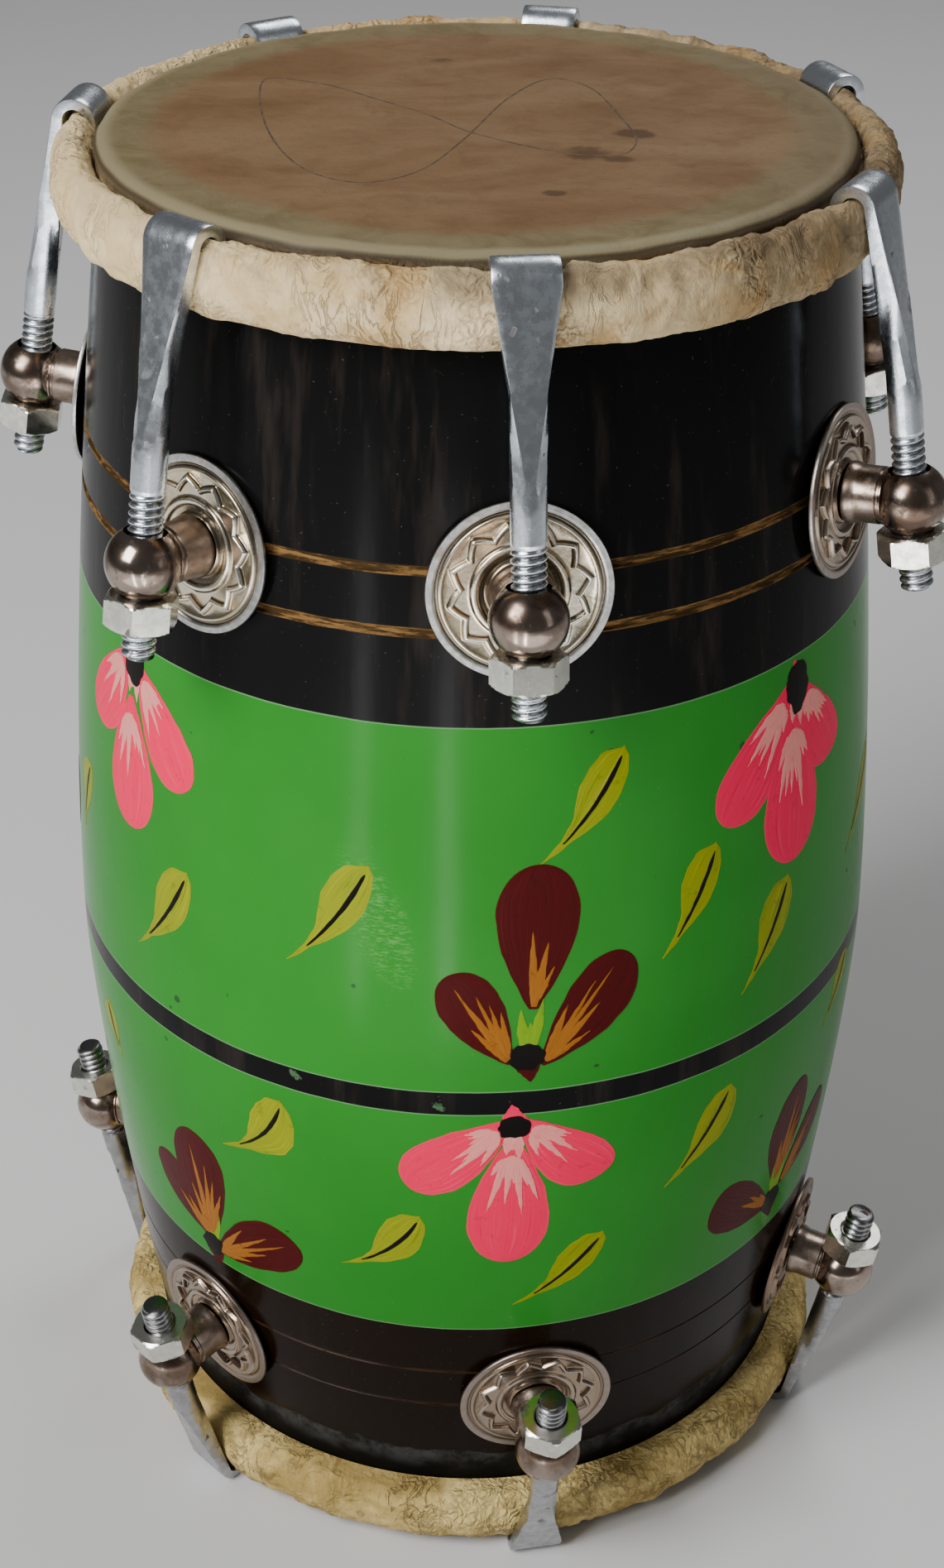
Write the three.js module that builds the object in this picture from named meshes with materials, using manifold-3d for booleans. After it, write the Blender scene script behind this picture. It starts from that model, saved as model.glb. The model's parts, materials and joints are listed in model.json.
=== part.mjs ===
// A dholak: a wooden barrel drum with a rawhide head at each end.
// Each head is pulled tight by seven hooks, whose rods pass through ball-headed
// eye bolts on the barrel and end in tuning nuts.
// Millimetres, +Z up. The origin is the centre of the bottom head's outer face,
// and the front of the drum looks along -Y.
import * as THREE from 'three';
import { mergeVertices } from 'three/addons/utils/BufferGeometryUtils.js';
import Module from 'manifold-3d';

const wasm = await Module();
wasm.setup();

// Gaps between neighbours
const seatGap = 0.3;
const overrun = 2;

// Barrel
const drumHeight = 447;
const bellyRadius = 130.2;
const bellyHeight = 188.6;
const bellyPower = 1.5;
const wallThickness = 14;
const rimChamfer = 2;
const barrelSides = 36;
const barrelSteps = 8;
const liningSteps = 7;

// Hook, a bar of three-eighths of an inch drawn out to a flat blade
const rodRadius = 4.76;
const rodTip = 27;
const bladeWidth = 17.5;
const bladeThickness = 3.4;
const bladeFoot = 5;
const archRadius = 3.2;
const lipLength = 4;
const rodSides = 10;
const archStep = 30;

// Tuning nut
const nutAcrossFlats = 18;
const nutHeight = 9;
const nutFaceRadius = 8.7;
const nutFaceSlope = 30;
const nutSides = 6;
const nutFaceSides = 24;

// Eye bolt
const ballRadius = 10.5;
const ballReach = 21;
const boreRadius = 5.9;
const neckRadius = 8.2;
const collarRadius = 8.9;
const collarHeight = 4;
const shankRadius = 3.9;
const shankTip = 3;
const washerRadius = 9.5;
const washerThickness = 1.5;
const backNutAcrossFlats = 13;
const backNutHeight = 6.5;
const boltSides = 10;
const ballSteps = 5;

// Rosette plate under each eye bolt
const plateRadius = 25;
const plateThickness = 1.2;
const plateRim = 2.6;
const plateRidgeRadius = 17;
const plateRidgeHeight = 2.6;
const plateDishRadius = 12.5;
const plateDishHeight = 1.7;
const plateSides = 16;

// The two ends. Angles are seen from above, in degrees from the front towards +X,
// and the hooks are set out by eye on the real drum, so their spacing wanders.
// Each nut was left at its own angle when the head was tuned.
const topEnd = {
  name: 'top',
  faceHeight: drumHeight,
  rimRadius: 106,
  skinThickness: 1.2,
  rollWidth: 12.4,
  rollHeight: 21,
  rollDrop: 1,
  lugDepth: 87.5,
  bladeLength: 50,
  angles: [5, 61, 113, 167.5, 213.5, 260, 320],
  nutTurns: [30, 12, 48, 25, 5, 40, 33],
  skinColour: 0xa98b68,
};
const bottomEnd = {
  name: 'bottom',
  faceHeight: 0,
  rimRadius: 112,
  skinThickness: 1.6,
  rollWidth: 13.4,
  rollHeight: 20,
  rollDrop: 1,
  lugDepth: 65,
  bladeLength: 42,
  angles: [9.5, 66, 115, 164, 212, 257, 314.5],
  nutTurns: [0, 22, 50, 8, 35, 15, 30],
  skinColour: 0xb59d78,
};
const ends = [topEnd, bottomEnd];
const rollSteps = 7;
const rollSeam = 165;

const finishes = {
  barrel: { color: 0x1c7a24, roughness: 0.25, metalness: 0 },
  plate: { color: 0xb9b2a6, roughness: 0.3, metalness: 1 },
  bolt: { color: 0x9b8f84, roughness: 0.3, metalness: 1 },
  hook: { color: 0x8d9096, roughness: 0.45, metalness: 1 },
  nut: { color: 0xa9adae, roughness: 0.4, metalness: 1 },
};

// Booleans

function solid(geometry) {
  const bare = geometry.clone();
  bare.deleteAttribute('normal');
  bare.deleteAttribute('uv');
  const merged = mergeVertices(bare);
  return new wasm.Manifold(new wasm.Mesh({
    numProp: 3,
    vertProperties: new Float32Array(merged.attributes.position.array),
    triVerts: new Uint32Array(merged.index.array),
  }));
}

function geometryOf(manifold) {
  const mesh = manifold.getMesh();
  const geometry = new THREE.BufferGeometry();
  geometry.setAttribute('position', new THREE.BufferAttribute(mesh.vertProperties, mesh.numProp));
  geometry.setIndex(new THREE.BufferAttribute(mesh.triVerts, 1));
  geometry.computeVertexNormals();
  return geometry;
}

// A bar with flat sides along Z, as round as its number of sides allows
function barAlongZ(radius, sides, low, high) {
  const bar = new THREE.CylinderGeometry(radius, radius, high - low, sides);
  bar.rotateY(Math.PI / sides);
  bar.rotateX(Math.PI / 2);
  bar.translate(0, 0, (low + high) / 2);
  return bar;
}

// The radius of a polygon's corners when its flats are this far from the middle
function cornerRadius(flatRadius, sides) {
  return flatRadius / Math.cos(Math.PI / sides);
}

function polygon(flatRadius, sides, turn = 0) {
  const radius = cornerRadius(flatRadius, sides);
  return Array.from({ length: sides }, (_, side) => {
    const angle = turn + side * 2 * Math.PI / sides;
    return new THREE.Vector2(radius * Math.cos(angle), radius * Math.sin(angle));
  });
}

// Barrel shape: the radius falls away from the belly to each rim

function endOver(height) {
  return height > bellyHeight ? topEnd : bottomEnd;
}

function barrelRadius(height) {
  const end = endOver(height);
  const share = Math.abs((height - bellyHeight) / (end.faceHeight - bellyHeight));
  return bellyRadius - (bellyRadius - end.rimRadius) * share ** bellyPower;
}

// The height of a point that lies this deep inside an end's face
function heightAt(end, depth) {
  return end === topEnd ? end.faceHeight - depth : end.faceHeight + depth;
}

function radiusAt(end, depth) {
  return barrelRadius(heightAt(end, depth));
}

// How far the barrel's surface leans back, as its radius shrinks towards an end
function leanAt(end, depth) {
  const span = Math.abs(end.faceHeight - bellyHeight);
  const share = (span - depth) / span;
  return Math.atan((bellyRadius - end.rimRadius) * bellyPower * share ** (bellyPower - 1) / span);
}

function rimDepth(end) {
  return end.skinThickness + seatGap;
}

// Where a hook's rod stands, worked out in the radial plane from the rolled hoop,
// the barrel's surface and the ball that the rod passes through

function rollCentre(end) {
  const depth = end.rollDrop + end.rollHeight / 2;
  return { radius: radiusAt(end, depth) + end.rollWidth / 2, z: -depth };
}

function ballCentre(end) {
  const lean = leanAt(end, end.lugDepth);
  return {
    radius: radiusAt(end, end.lugDepth) + ballReach * Math.cos(lean),
    z: -end.lugDepth + ballReach * Math.sin(lean),
  };
}

// The rod leans in until the blade's inner face lies one seat gap from the roll
function rodLean(end) {
  const roll = rollCentre(end);
  const ball = ballCentre(end);
  let low = 0;
  let high = Math.PI / 4;
  for (let step = 0; step < 40; step++) {
    const lean = (low + high) / 2;
    const reach = Math.hypot(end.rollWidth / 2 * Math.cos(lean), end.rollHeight / 2 * Math.sin(lean));
    const away = (ball.radius - roll.radius) * Math.cos(lean) + (ball.z - roll.z) * Math.sin(lean);
    if (away > reach + seatGap + rodRadius) low = lean;
    else high = lean;
  }
  return (low + high) / 2;
}

// Barrel with a hole for each eye bolt

function barrelGeometry() {
  const low = heightAt(bottomEnd, rimDepth(bottomEnd));
  const high = heightAt(topEnd, rimDepth(topEnd));
  const outline = [];
  outline.push(new THREE.Vector2(barrelRadius(low) - rimChamfer, low));
  for (let step = 0; step <= barrelSteps; step++) {
    const height = low + rimChamfer + (high - low - 2 * rimChamfer) * step / barrelSteps;
    outline.push(new THREE.Vector2(barrelRadius(height), height));
  }
  outline.push(new THREE.Vector2(barrelRadius(high) - rimChamfer, high));
  for (let step = 0; step <= liningSteps; step++) {
    const height = high + (low - high) * step / liningSteps;
    outline.push(new THREE.Vector2(barrelRadius(height) - wallThickness, height));
  }
  outline.push(outline[0].clone());
  const shell = new THREE.LatheGeometry(outline, barrelSides);
  shell.rotateX(Math.PI / 2);
  return shell;
}

function drilledBarrel() {
  let shell = solid(barrelGeometry());
  for (const end of ends) {
    const radius = cornerRadius(shankRadius + seatGap, boltSides);
    const depth = wallThickness + 2 * overrun;
    for (const angle of end.angles) {
      const drill = new THREE.CylinderGeometry(radius, radius, depth, boltSides);
      drill.translate(0, overrun - depth / 2, 0);
      const hole = new THREE.Mesh(drill);
      const lug = lugSeat(end, angle);
      lug.seat.add(hole);
      hole.updateWorldMatrix(true, false);
      drill.applyMatrix4(hole.matrixWorld);
      shell = shell.subtract(solid(drill));
    }
  }
  return geometryOf(shell);
}

// Head: a flat skin lapped over the rim and rolled round its hoop

function headGeometry(end) {
  const roll = rollCentre(end);
  const across = end.rollWidth / 2;
  const up = end.rollHeight / 2;
  const edge = radiusAt(end, rimDepth(end)) + seatGap + end.skinThickness;
  const outline = [];
  outline.push(new THREE.Vector2(0, 0));
  outline.push(new THREE.Vector2(edge - rimChamfer, 0));
  outline.push(new THREE.Vector2(edge, -rimChamfer));
  const first = THREE.MathUtils.degToRad(rollSeam);
  const last = -Math.PI / 2;
  for (let step = 0; step <= rollSteps; step++) {
    const angle = first + (last - first) * step / rollSteps;
    outline.push(new THREE.Vector2(roll.radius + across * Math.cos(angle), roll.z + up * Math.sin(angle)));
  }
  const lapDepth = end.rollDrop + end.rollHeight;
  const rim = rimDepth(end);
  outline.push(new THREE.Vector2(radiusAt(end, lapDepth) + seatGap, -lapDepth));
  outline.push(new THREE.Vector2(radiusAt(end, rim + rimChamfer) + seatGap, -rim - rimChamfer));
  outline.push(new THREE.Vector2(radiusAt(end, rim) - rimChamfer + seatGap, -end.skinThickness));
  outline.push(new THREE.Vector2(0, -end.skinThickness));
  outline.reverse();
  const head = new THREE.LatheGeometry(outline, barrelSides);
  head.rotateX(Math.PI / 2);
  return head;
}

// The rolled edge gives way under each hook: a slot for the tip, and a hollow beside the arch
function pocketGeometry(end) {
  const { centre, inward, down } = hookArch(end);
  const tipReach = archRadius + bladeThickness + seatGap;
  const tipDepth = lipLength + seatGap;
  const tipCorner = centre.clone().addScaledVector(inward, tipReach).addScaledVector(down, tipDepth);
  const rollCorner = centre.clone().addScaledVector(inward, archRadius - seatGap);
  rollCorner.addScaledVector(down, tipDepth);
  const top = centre.y + archRadius + bladeThickness + overrun;
  const outline = [
    tipCorner,
    new THREE.Vector2(tipCorner.x, top),
    new THREE.Vector2(-rodRadius, top),
    new THREE.Vector2(-rodRadius, centre.y),
    new THREE.Vector2(-rodRadius - seatGap, centre.y),
    ...archPoints(end, archRadius - seatGap),
    rollCorner,
  ];
  const width = bladeWidth + 2 * seatGap;
  const pocket = new THREE.ExtrudeGeometry(new THREE.Shape(outline), { depth: width, bevelEnabled: false });
  pocket.translate(0, 0, -width / 2);
  pocket.rotateX(Math.PI / 2);
  return pocket;
}

function pressedHead(end) {
  let head = solid(headGeometry(end));
  for (const angle of end.angles) {
    const spoke = station(end, angle);
    const rod = rodSeat(end);
    const geometry = pocketGeometry(end);
    const pocket = new THREE.Mesh(geometry);
    rod.add(pocket);
    spoke.add(rod);
    pocket.updateWorldMatrix(true, false);
    geometry.applyMatrix4(pocket.matrixWorld);
    head = head.subtract(solid(geometry));
  }
  return geometryOf(head);
}

// Rosette plate, pressed with a flat rim, a dished ring and a raised middle

function plateGeometry() {
  const hole = cornerRadius(shankRadius + seatGap, boltSides);
  const outline = [
    new THREE.Vector2(hole, seatGap),
    new THREE.Vector2(plateRadius, seatGap),
    new THREE.Vector2(plateRadius, seatGap + plateThickness),
    new THREE.Vector2(plateRadius - plateRim, seatGap + plateThickness),
    new THREE.Vector2(plateRidgeRadius, seatGap + plateRidgeHeight),
    new THREE.Vector2(plateDishRadius, seatGap + plateDishHeight),
    new THREE.Vector2(collarRadius, seatGap + plateRidgeHeight),
    new THREE.Vector2(hole, seatGap + plateRidgeHeight),
    new THREE.Vector2(hole, seatGap),
  ];
  return new THREE.LatheGeometry(outline, plateSides);
}

// Eye bolt: ball, neck, collar and shank, with its washer and back nut inside the barrel.
// It is turned about Y, which points out of the barrel, from the barrel's surface.

function boltGeometry(end) {
  const seat = 2 * seatGap + plateRidgeHeight;
  const lining = radiusAt(end, end.lugDepth) - wallThickness;
  const facetSag = lining * (1 - Math.cos(Math.PI / barrelSides));
  const sag = washerRadius ** 2 / (2 * lining) + facetSag;
  const washerTop = -wallThickness - sag - seatGap;
  const washerBack = washerTop - washerThickness;
  const nutBack = washerBack - backNutHeight;
  const outline = [
    new THREE.Vector2(0, nutBack - shankTip),
    new THREE.Vector2(shankRadius, nutBack - shankTip),
    new THREE.Vector2(shankRadius, washerBack),
    new THREE.Vector2(washerRadius, washerBack),
    new THREE.Vector2(washerRadius, washerTop),
    new THREE.Vector2(shankRadius, washerTop),
    new THREE.Vector2(shankRadius, seat),
    new THREE.Vector2(collarRadius, seat),
    new THREE.Vector2(collarRadius, seat + collarHeight / 2),
    new THREE.Vector2(neckRadius, seat + collarHeight),
  ];
  const first = -Math.acos(neckRadius / ballRadius);
  for (let step = 0; step <= ballSteps; step++) {
    const angle = first + (Math.PI / 2 - first) * step / ballSteps;
    const radius = step === ballSteps ? 0 : ballRadius * Math.cos(angle);
    outline.push(new THREE.Vector2(radius, ballReach + ballRadius * Math.sin(angle)));
  }
  const turned = solid(new THREE.LatheGeometry(outline, boltSides));
  const nutRadius = cornerRadius(backNutAcrossFlats / 2, nutSides);
  const backNut = new THREE.CylinderGeometry(nutRadius, nutRadius, backNutHeight, nutSides);
  backNut.translate(0, washerBack - backNutHeight / 2, 0);
  const boreEnd = ballRadius + overrun;
  const bore = barAlongZ(cornerRadius(boreRadius, rodSides), rodSides, -boreEnd, boreEnd);
  bore.rotateX(rodLean(end) - leanAt(end, end.lugDepth));
  bore.translate(0, ballReach, 0);
  return geometryOf(turned.add(solid(backNut)).subtract(solid(bore)));
}

// Hook, drawn from the middle of its ball: Z runs up the rod to the blade, X points outwards.
// Its blade arches over the rolled edge and its tip points straight into the drum.

function hookArch(end) {
  const lean = rodLean(end);
  const ball = ballCentre(end);
  const x = -rodRadius - archRadius;
  const under = -end.rollDrop + seatGap;
  const z = (under - archRadius - ball.z - x * Math.sin(lean)) / Math.cos(lean);
  return {
    lean,
    centre: new THREE.Vector2(x, z),
    inward: new THREE.Vector2(-Math.cos(lean), Math.sin(lean)),
    down: new THREE.Vector2(-Math.sin(lean), -Math.cos(lean)),
  };
}

// Corners of an arch whose flats touch a circle, one of them square to the drum's axis
function archPoints(end, radius) {
  const { lean, centre } = hookArch(end);
  const step = THREE.MathUtils.degToRad(archStep);
  const flats = [lean];
  for (let angle = step; angle < Math.PI + step / 2; angle += step) flats.push(angle);
  return flats.slice(1).map((angle, index) => {
    const middle = (flats[index] + angle) / 2 - lean;
    const reach = radius / Math.cos((angle - flats[index]) / 2);
    return new THREE.Vector2(centre.x + reach * Math.cos(middle), centre.y + reach * Math.sin(middle));
  });
}

function hookGeometry(end) {
  const { centre, inward, down } = hookArch(end);
  const inner = -rodRadius;
  const outerRadius = archRadius + bladeThickness;
  const bladeTop = centre.y;
  const bladeLow = bladeTop - end.bladeLength;
  const side = new THREE.Shape([
    new THREE.Vector2(inner, -rodTip),
    new THREE.Vector2(-inner, -rodTip),
    new THREE.Vector2(-inner, bladeLow),
    new THREE.Vector2(inner + bladeThickness, bladeTop),
    ...archPoints(end, outerRadius),
    centre.clone().addScaledVector(inward, outerRadius).addScaledVector(down, lipLength),
    centre.clone().addScaledVector(inward, archRadius).addScaledVector(down, lipLength),
    ...archPoints(end, archRadius).reverse(),
  ]);
  const slab = new THREE.ExtrudeGeometry(side, { depth: bladeWidth, bevelEnabled: false });
  slab.translate(0, 0, -bladeWidth / 2);
  slab.rotateX(Math.PI / 2);

  const top = bladeTop + outerRadius + overrun;
  const front = new THREE.Shape([
    new THREE.Vector2(-bladeFoot / 2, bladeLow),
    new THREE.Vector2(bladeFoot / 2, bladeLow),
    new THREE.Vector2(bladeWidth / 2, bladeTop),
    new THREE.Vector2(bladeWidth / 2, top),
    new THREE.Vector2(-bladeWidth / 2, top),
    new THREE.Vector2(-bladeWidth / 2, bladeTop),
  ]);
  const depth = 2 * (rodRadius + archRadius + outerRadius + lipLength + overrun);
  const face = new THREE.ExtrudeGeometry(front, { depth, bevelEnabled: false });
  face.translate(0, 0, -depth / 2);
  face.rotateX(Math.PI / 2);
  face.rotateZ(Math.PI / 2);

  const sideSolid = solid(slab);
  const blade = sideSolid.intersect(solid(face));
  const rod = sideSolid.intersect(solid(barAlongZ(rodRadius, rodSides, -rodTip, bladeTop)));
  return geometryOf(rod.add(blade));
}

// Hexagon nut with its corners turned away at both ends, seated under the ball
function nutGeometry() {
  const seat = Math.sqrt(ballRadius ** 2 - boreRadius ** 2) + seatGap;
  const outline = new THREE.Shape(polygon(nutAcrossFlats / 2, nutSides));
  outline.holes.push(new THREE.Path(polygon(rodRadius + seatGap, rodSides, Math.PI / rodSides)));
  const hexagon = new THREE.ExtrudeGeometry(outline, { depth: nutHeight, bevelEnabled: false });
  const slope = Math.tan(THREE.MathUtils.degToRad(nutFaceSlope));
  const middleRadius = nutFaceRadius + nutHeight / 2 / slope;
  const turning = new THREE.LatheGeometry([
    new THREE.Vector2(0, 0),
    new THREE.Vector2(nutFaceRadius, 0),
    new THREE.Vector2(middleRadius, nutHeight / 2),
    new THREE.Vector2(nutFaceRadius, nutHeight),
    new THREE.Vector2(0, nutHeight),
  ], nutFaceSides);
  turning.rotateX(Math.PI / 2);
  const nut = geometryOf(solid(hexagon).intersect(solid(turning)));
  nut.translate(0, 0, -seat - nutHeight);
  return nut;
}

// Placing

function named(name, geometry, finish) {
  const mesh = new THREE.Mesh(geometry, new THREE.MeshStandardMaterial(finish));
  mesh.name = name;
  return mesh;
}

// An end's frame: its origin is the centre of the head's face and Z points out of the drum
function endFrame(end) {
  const frame = new THREE.Group();
  frame.position.z = end.faceHeight;
  frame.rotation.x = end === topEnd ? 0 : Math.PI;
  return frame;
}

// A station's frame: X points away from the drum's axis at the hook's angle
function station(end, angle) {
  const turn = THREE.MathUtils.degToRad(angle - 90);
  const frame = new THREE.Group();
  frame.rotation.z = end === topEnd ? turn : -turn;
  return frame;
}

// A rod's frame within its station: its origin is the middle of the ball and Z runs up the rod
function rodSeat(end) {
  const ball = ballCentre(end);
  const rod = new THREE.Group();
  rod.position.set(ball.radius, 0, ball.z);
  rod.rotation.y = -rodLean(end);
  return rod;
}

// The seat of an eye bolt: Y points straight out of the barrel's surface
function lugSeat(end, angle) {
  const frame = endFrame(end);
  const spoke = station(end, angle);
  const tilt = new THREE.Group();
  tilt.position.set(radiusAt(end, end.lugDepth), 0, -end.lugDepth);
  tilt.rotation.y = -leanAt(end, end.lugDepth);
  const seat = new THREE.Group();
  seat.rotation.z = -Math.PI / 2;
  tilt.add(seat);
  spoke.add(tilt);
  frame.add(spoke);
  return { frame, seat, spoke };
}

const dholak = new THREE.Group();
dholak.add(named('shell', drilledBarrel(), finishes.barrel));

for (const end of ends) {
  const skin = { color: end.skinColour, roughness: 0.7, metalness: 0 };
  const frame = endFrame(end);
  frame.add(named(`${end.name}_head`, pressedHead(end), skin));
  dholak.add(frame);
  const plate = plateGeometry();
  const bolt = boltGeometry(end);
  const hook = hookGeometry(end);
  const nut = nutGeometry();
  end.angles.forEach((angle, index) => {
    const number = index + 1;
    const lug = lugSeat(end, angle);
    lug.seat.add(named(`${end.name}_plate_${number}`, plate, finishes.plate));
    lug.seat.add(named(`${end.name}_eyebolt_${number}`, bolt, finishes.bolt));
    const rod = rodSeat(end);
    rod.add(named(`${end.name}_hook_${number}`, hook, finishes.hook));
    const turned = named(`${end.name}_nut_${number}`, nut, finishes.nut);
    turned.rotation.z = THREE.MathUtils.degToRad(end.nutTurns[index]);
    rod.add(turned);
    lug.spoke.add(rod);
    dholak.add(lug.frame);
  });
}

export default dholak;
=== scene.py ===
import json
import math
import bmesh
import bpy
from mathutils import Matrix, Vector, noise


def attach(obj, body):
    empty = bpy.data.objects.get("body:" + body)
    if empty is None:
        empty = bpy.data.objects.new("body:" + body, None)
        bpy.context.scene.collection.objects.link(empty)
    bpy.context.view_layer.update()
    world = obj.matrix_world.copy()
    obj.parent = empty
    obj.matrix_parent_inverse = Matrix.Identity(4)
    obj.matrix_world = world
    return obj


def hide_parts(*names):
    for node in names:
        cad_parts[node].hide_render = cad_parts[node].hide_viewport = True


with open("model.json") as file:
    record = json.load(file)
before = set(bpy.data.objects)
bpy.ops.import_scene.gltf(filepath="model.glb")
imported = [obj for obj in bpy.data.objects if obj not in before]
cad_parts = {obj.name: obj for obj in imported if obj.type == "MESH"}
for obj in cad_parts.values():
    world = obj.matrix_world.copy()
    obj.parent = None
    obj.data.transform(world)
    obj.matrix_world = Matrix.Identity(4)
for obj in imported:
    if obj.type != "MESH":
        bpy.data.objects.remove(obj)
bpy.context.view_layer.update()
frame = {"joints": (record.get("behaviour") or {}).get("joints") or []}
mm = .001
fullTurn = 2 * math.pi

# The barrel's shape, in mm: the radius falls away from the belly to each rim
barrel = {"height": 447, "bellyRadius": 130.2, "bellyHeight": 188.6, "power": 1.5, "wall": 14,
          "gap": .3, "chamfer": 2, "around": 240, "step": 7, "liningSteps": 14,
          "shankHole": 4.2, "holeSides": 24, "overrun": (4, 3)}
# drop is the depth of the roll's upper edge below the face, lug the height of the eye bolts
ends = {
    "top": {"face": 447, "rim": 106, "skin": 1.2, "rollWidth": 12.4, "rollHeight": 21,
            "drop": 1, "lug": 359.5},
    "bottom": {"face": 0, "rim": 112, "skin": 1.6, "rollWidth": 13.4, "rollHeight": 20,
               "drop": 1, "lug": 65},
}
lugs = [(end, number) for end in ends for number in range(1, 8)]


def smooth(value, low, high):
    share = min(1, max(0, (value - low) / (high - low)))
    return share * share * (3 - 2 * share)


def mix(low, high, share):
    return low + (high - low) * share


def barrelRadius(height):
    end = ends["top"] if height > barrel["bellyHeight"] else ends["bottom"]
    share = abs((height - barrel["bellyHeight"]) / (end["face"] - barrel["bellyHeight"]))
    return barrel["bellyRadius"] - (barrel["bellyRadius"] - end["rim"]) * share ** barrel["power"]


def radiusAt(end, depth):
    return barrelRadius(abs(ends[end]["face"] - depth))


# Each end's frame: Z points out of the drum from the middle of the head's face
endFrames = {
    "top": Matrix.Translation((0, 0, barrel["height"])),
    "bottom": Matrix.Rotation(math.pi, 4, "X"),
}


# Meshes from rings of points

def ringOf(radius, height, count, turn=0):
    # radius may be a number or a function of the angle
    points = []
    for i in range(count):
        angle = fullTurn * i / count + turn
        reach = radius(angle) if callable(radius) else radius
        points.append((reach * math.cos(angle), reach * math.sin(angle), height))
    return points


def skin(rings, looped=False):
    # joins rings into one closed surface; a ring of one point is a pole
    points, faces, starts = [], [], []
    for ring in rings:
        starts.append(len(points))
        points.extend(ring)
    joins = [(k, k + 1) for k in range(len(rings) - 1)]
    if looped:
        joins.append((len(rings) - 1, 0))
    for low, high in joins:
        a, b = starts[low], starts[high]
        size = max(len(rings[low]), len(rings[high]))
        for i in range(size):
            j = (i + 1) % size
            if len(rings[low]) == 1:
                faces.append((a, b + j, b + i))
            elif len(rings[high]) == 1:
                faces.append((a + i, a + j, b))
            else:
                faces.append((a + i, a + j, b + j, b + i))
    if not looped:
        if len(rings[0]) > 1:
            faces.append(tuple(reversed(range(len(rings[0])))))
        if len(rings[-1]) > 1:
            faces.append(tuple(range(starts[-1], starts[-1] + len(rings[-1]))))
    return points, faces


def together(shapes):
    points, faces = [], []
    for shapePoints, shapeFaces in shapes:
        start = len(points)
        points.extend(shapePoints)
        faces.extend(tuple(start + k for k in face) for face in shapeFaces)
    return points, faces


def meshOf(name, shape, scale=1, place=Matrix.Identity(4)):
    points, faces = shape
    mesh = bpy.data.meshes.new(name)
    mesh.from_pydata([(place @ Vector(p)) * scale for p in points], [], faces)
    work = bmesh.new()
    work.from_mesh(mesh)
    bmesh.ops.recalc_face_normals(work, faces=work.faces)
    work.to_mesh(mesh)
    work.free()
    return mesh


def drilled(shape, drill):
    # the shape with the drill cut out of it
    things = []
    for label, part in (("block", shape), ("cutter", drill)):
        thing = bpy.data.objects.new(label, meshOf(label, part))
        bpy.context.collection.objects.link(thing)
        things.append(thing)
    block, cutter = things
    cut = block.modifiers.new("cut", "BOOLEAN")
    cut.operation = "DIFFERENCE"
    cut.solver = "EXACT"
    cut.object = cutter
    graph = bpy.context.evaluated_depsgraph_get()
    made = bpy.data.meshes.new_from_object(block.evaluated_get(graph))
    result = [tuple(v.co) for v in made.vertices], [tuple(p.vertices) for p in made.polygons]
    for thing in things:
        bpy.data.objects.remove(thing)
    return result


def hexagon(acrossFlats, widest=math.inf):
    # a nut's radius at an angle, held inside a circle
    sixth = fullTurn / 6
    return lambda angle: min(widest, acrossFlats / 2 / math.cos(angle % sixth - sixth / 2))


def piece(name, shape, paint, body="root", replaced=(), place=Matrix.Identity(4),
          spots=None, sharp=35):
    # spots are the points that the paint sees: the piece's own, before it is put in place
    mesh = meshOf(name, shape, mm, place)
    spot = mesh.attributes.new("spot", "FLOAT_VECTOR", "POINT")
    spot.data.foreach_set("vector", [value for p in (spots or shape[0]) for value in p])
    mesh.shade_smooth()
    mesh.set_sharp_from_angle(angle=math.radians(sharp))
    mesh.materials.append(paint)
    thing = bpy.data.objects.new(name, mesh)
    bpy.context.collection.objects.link(thing)
    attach(thing, body)
    if replaced:
        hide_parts(*replaced)
    return thing


# Where the hooks stand, from the joints of their nuts

def rodFrame(end, number):
    # Z runs up the rod to the blade and X points outwards, from the middle of the ball
    turn = next(j for j in frame["joints"] if j["name"] == f"{end}_nut_{number}_turn")
    ballAt = Vector(turn["pos_m"]) / mm
    up = -Vector(turn["axis"]).normalized()
    spoke = Vector((ballAt.x, ballAt.y, 0)).normalized()
    outward = (spoke - up * spoke.dot(up)).normalized()
    side = up.cross(outward)
    return Matrix.Translation(ballAt) @ Matrix((outward, side, up)).transposed().to_4x4()


def lugFrame(end, number):
    # Z points straight out of the barrel at the eye bolt's foot, Y up the barrel
    ballAt = rodFrame(end, number).translation
    spoke = Vector((ballAt.x, ballAt.y, 0)).normalized()
    foot = spoke * barrelRadius(ends[end]["lug"]) + Vector((0, 0, ends[end]["lug"]))
    outward = (ballAt - foot).normalized()
    across = Vector((0, 0, 1)).cross(spoke).normalized()
    up = outward.cross(across)
    return Matrix.Translation(foot) @ Matrix((across, up, outward)).transposed().to_4x4()


# Shader maths

class Wire:
    # one output of a node; sums on it add Math nodes
    def __init__(self, paint, socket):
        self.paint = paint
        self.socket = socket

    def sum(self, operation, first, second=0, clamp=False):
        settings = {"operation": operation, "use_clamp": clamp}
        return self.paint.node("ShaderNodeMath", settings, {0: first, 1: second})

    def __add__(self, other):
        return self.sum("ADD", self, other)

    def __radd__(self, other):
        return self.sum("ADD", other, self)

    def __sub__(self, other):
        return self.sum("SUBTRACT", self, other)

    def __rsub__(self, other):
        return self.sum("SUBTRACT", other, self)

    def __mul__(self, other):
        return self.sum("MULTIPLY", self, other)

    def __rmul__(self, other):
        return self.sum("MULTIPLY", other, self)

    def __truediv__(self, other):
        return self.sum("DIVIDE", self, other)

    def __pow__(self, other):
        return self.sum("POWER", self, other)

    def __abs__(self):
        return self.sum("ABSOLUTE", self)

    def kept(self):
        # held between 0 and 1
        return self.sum("ADD", self, 0, clamp=True)


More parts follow.
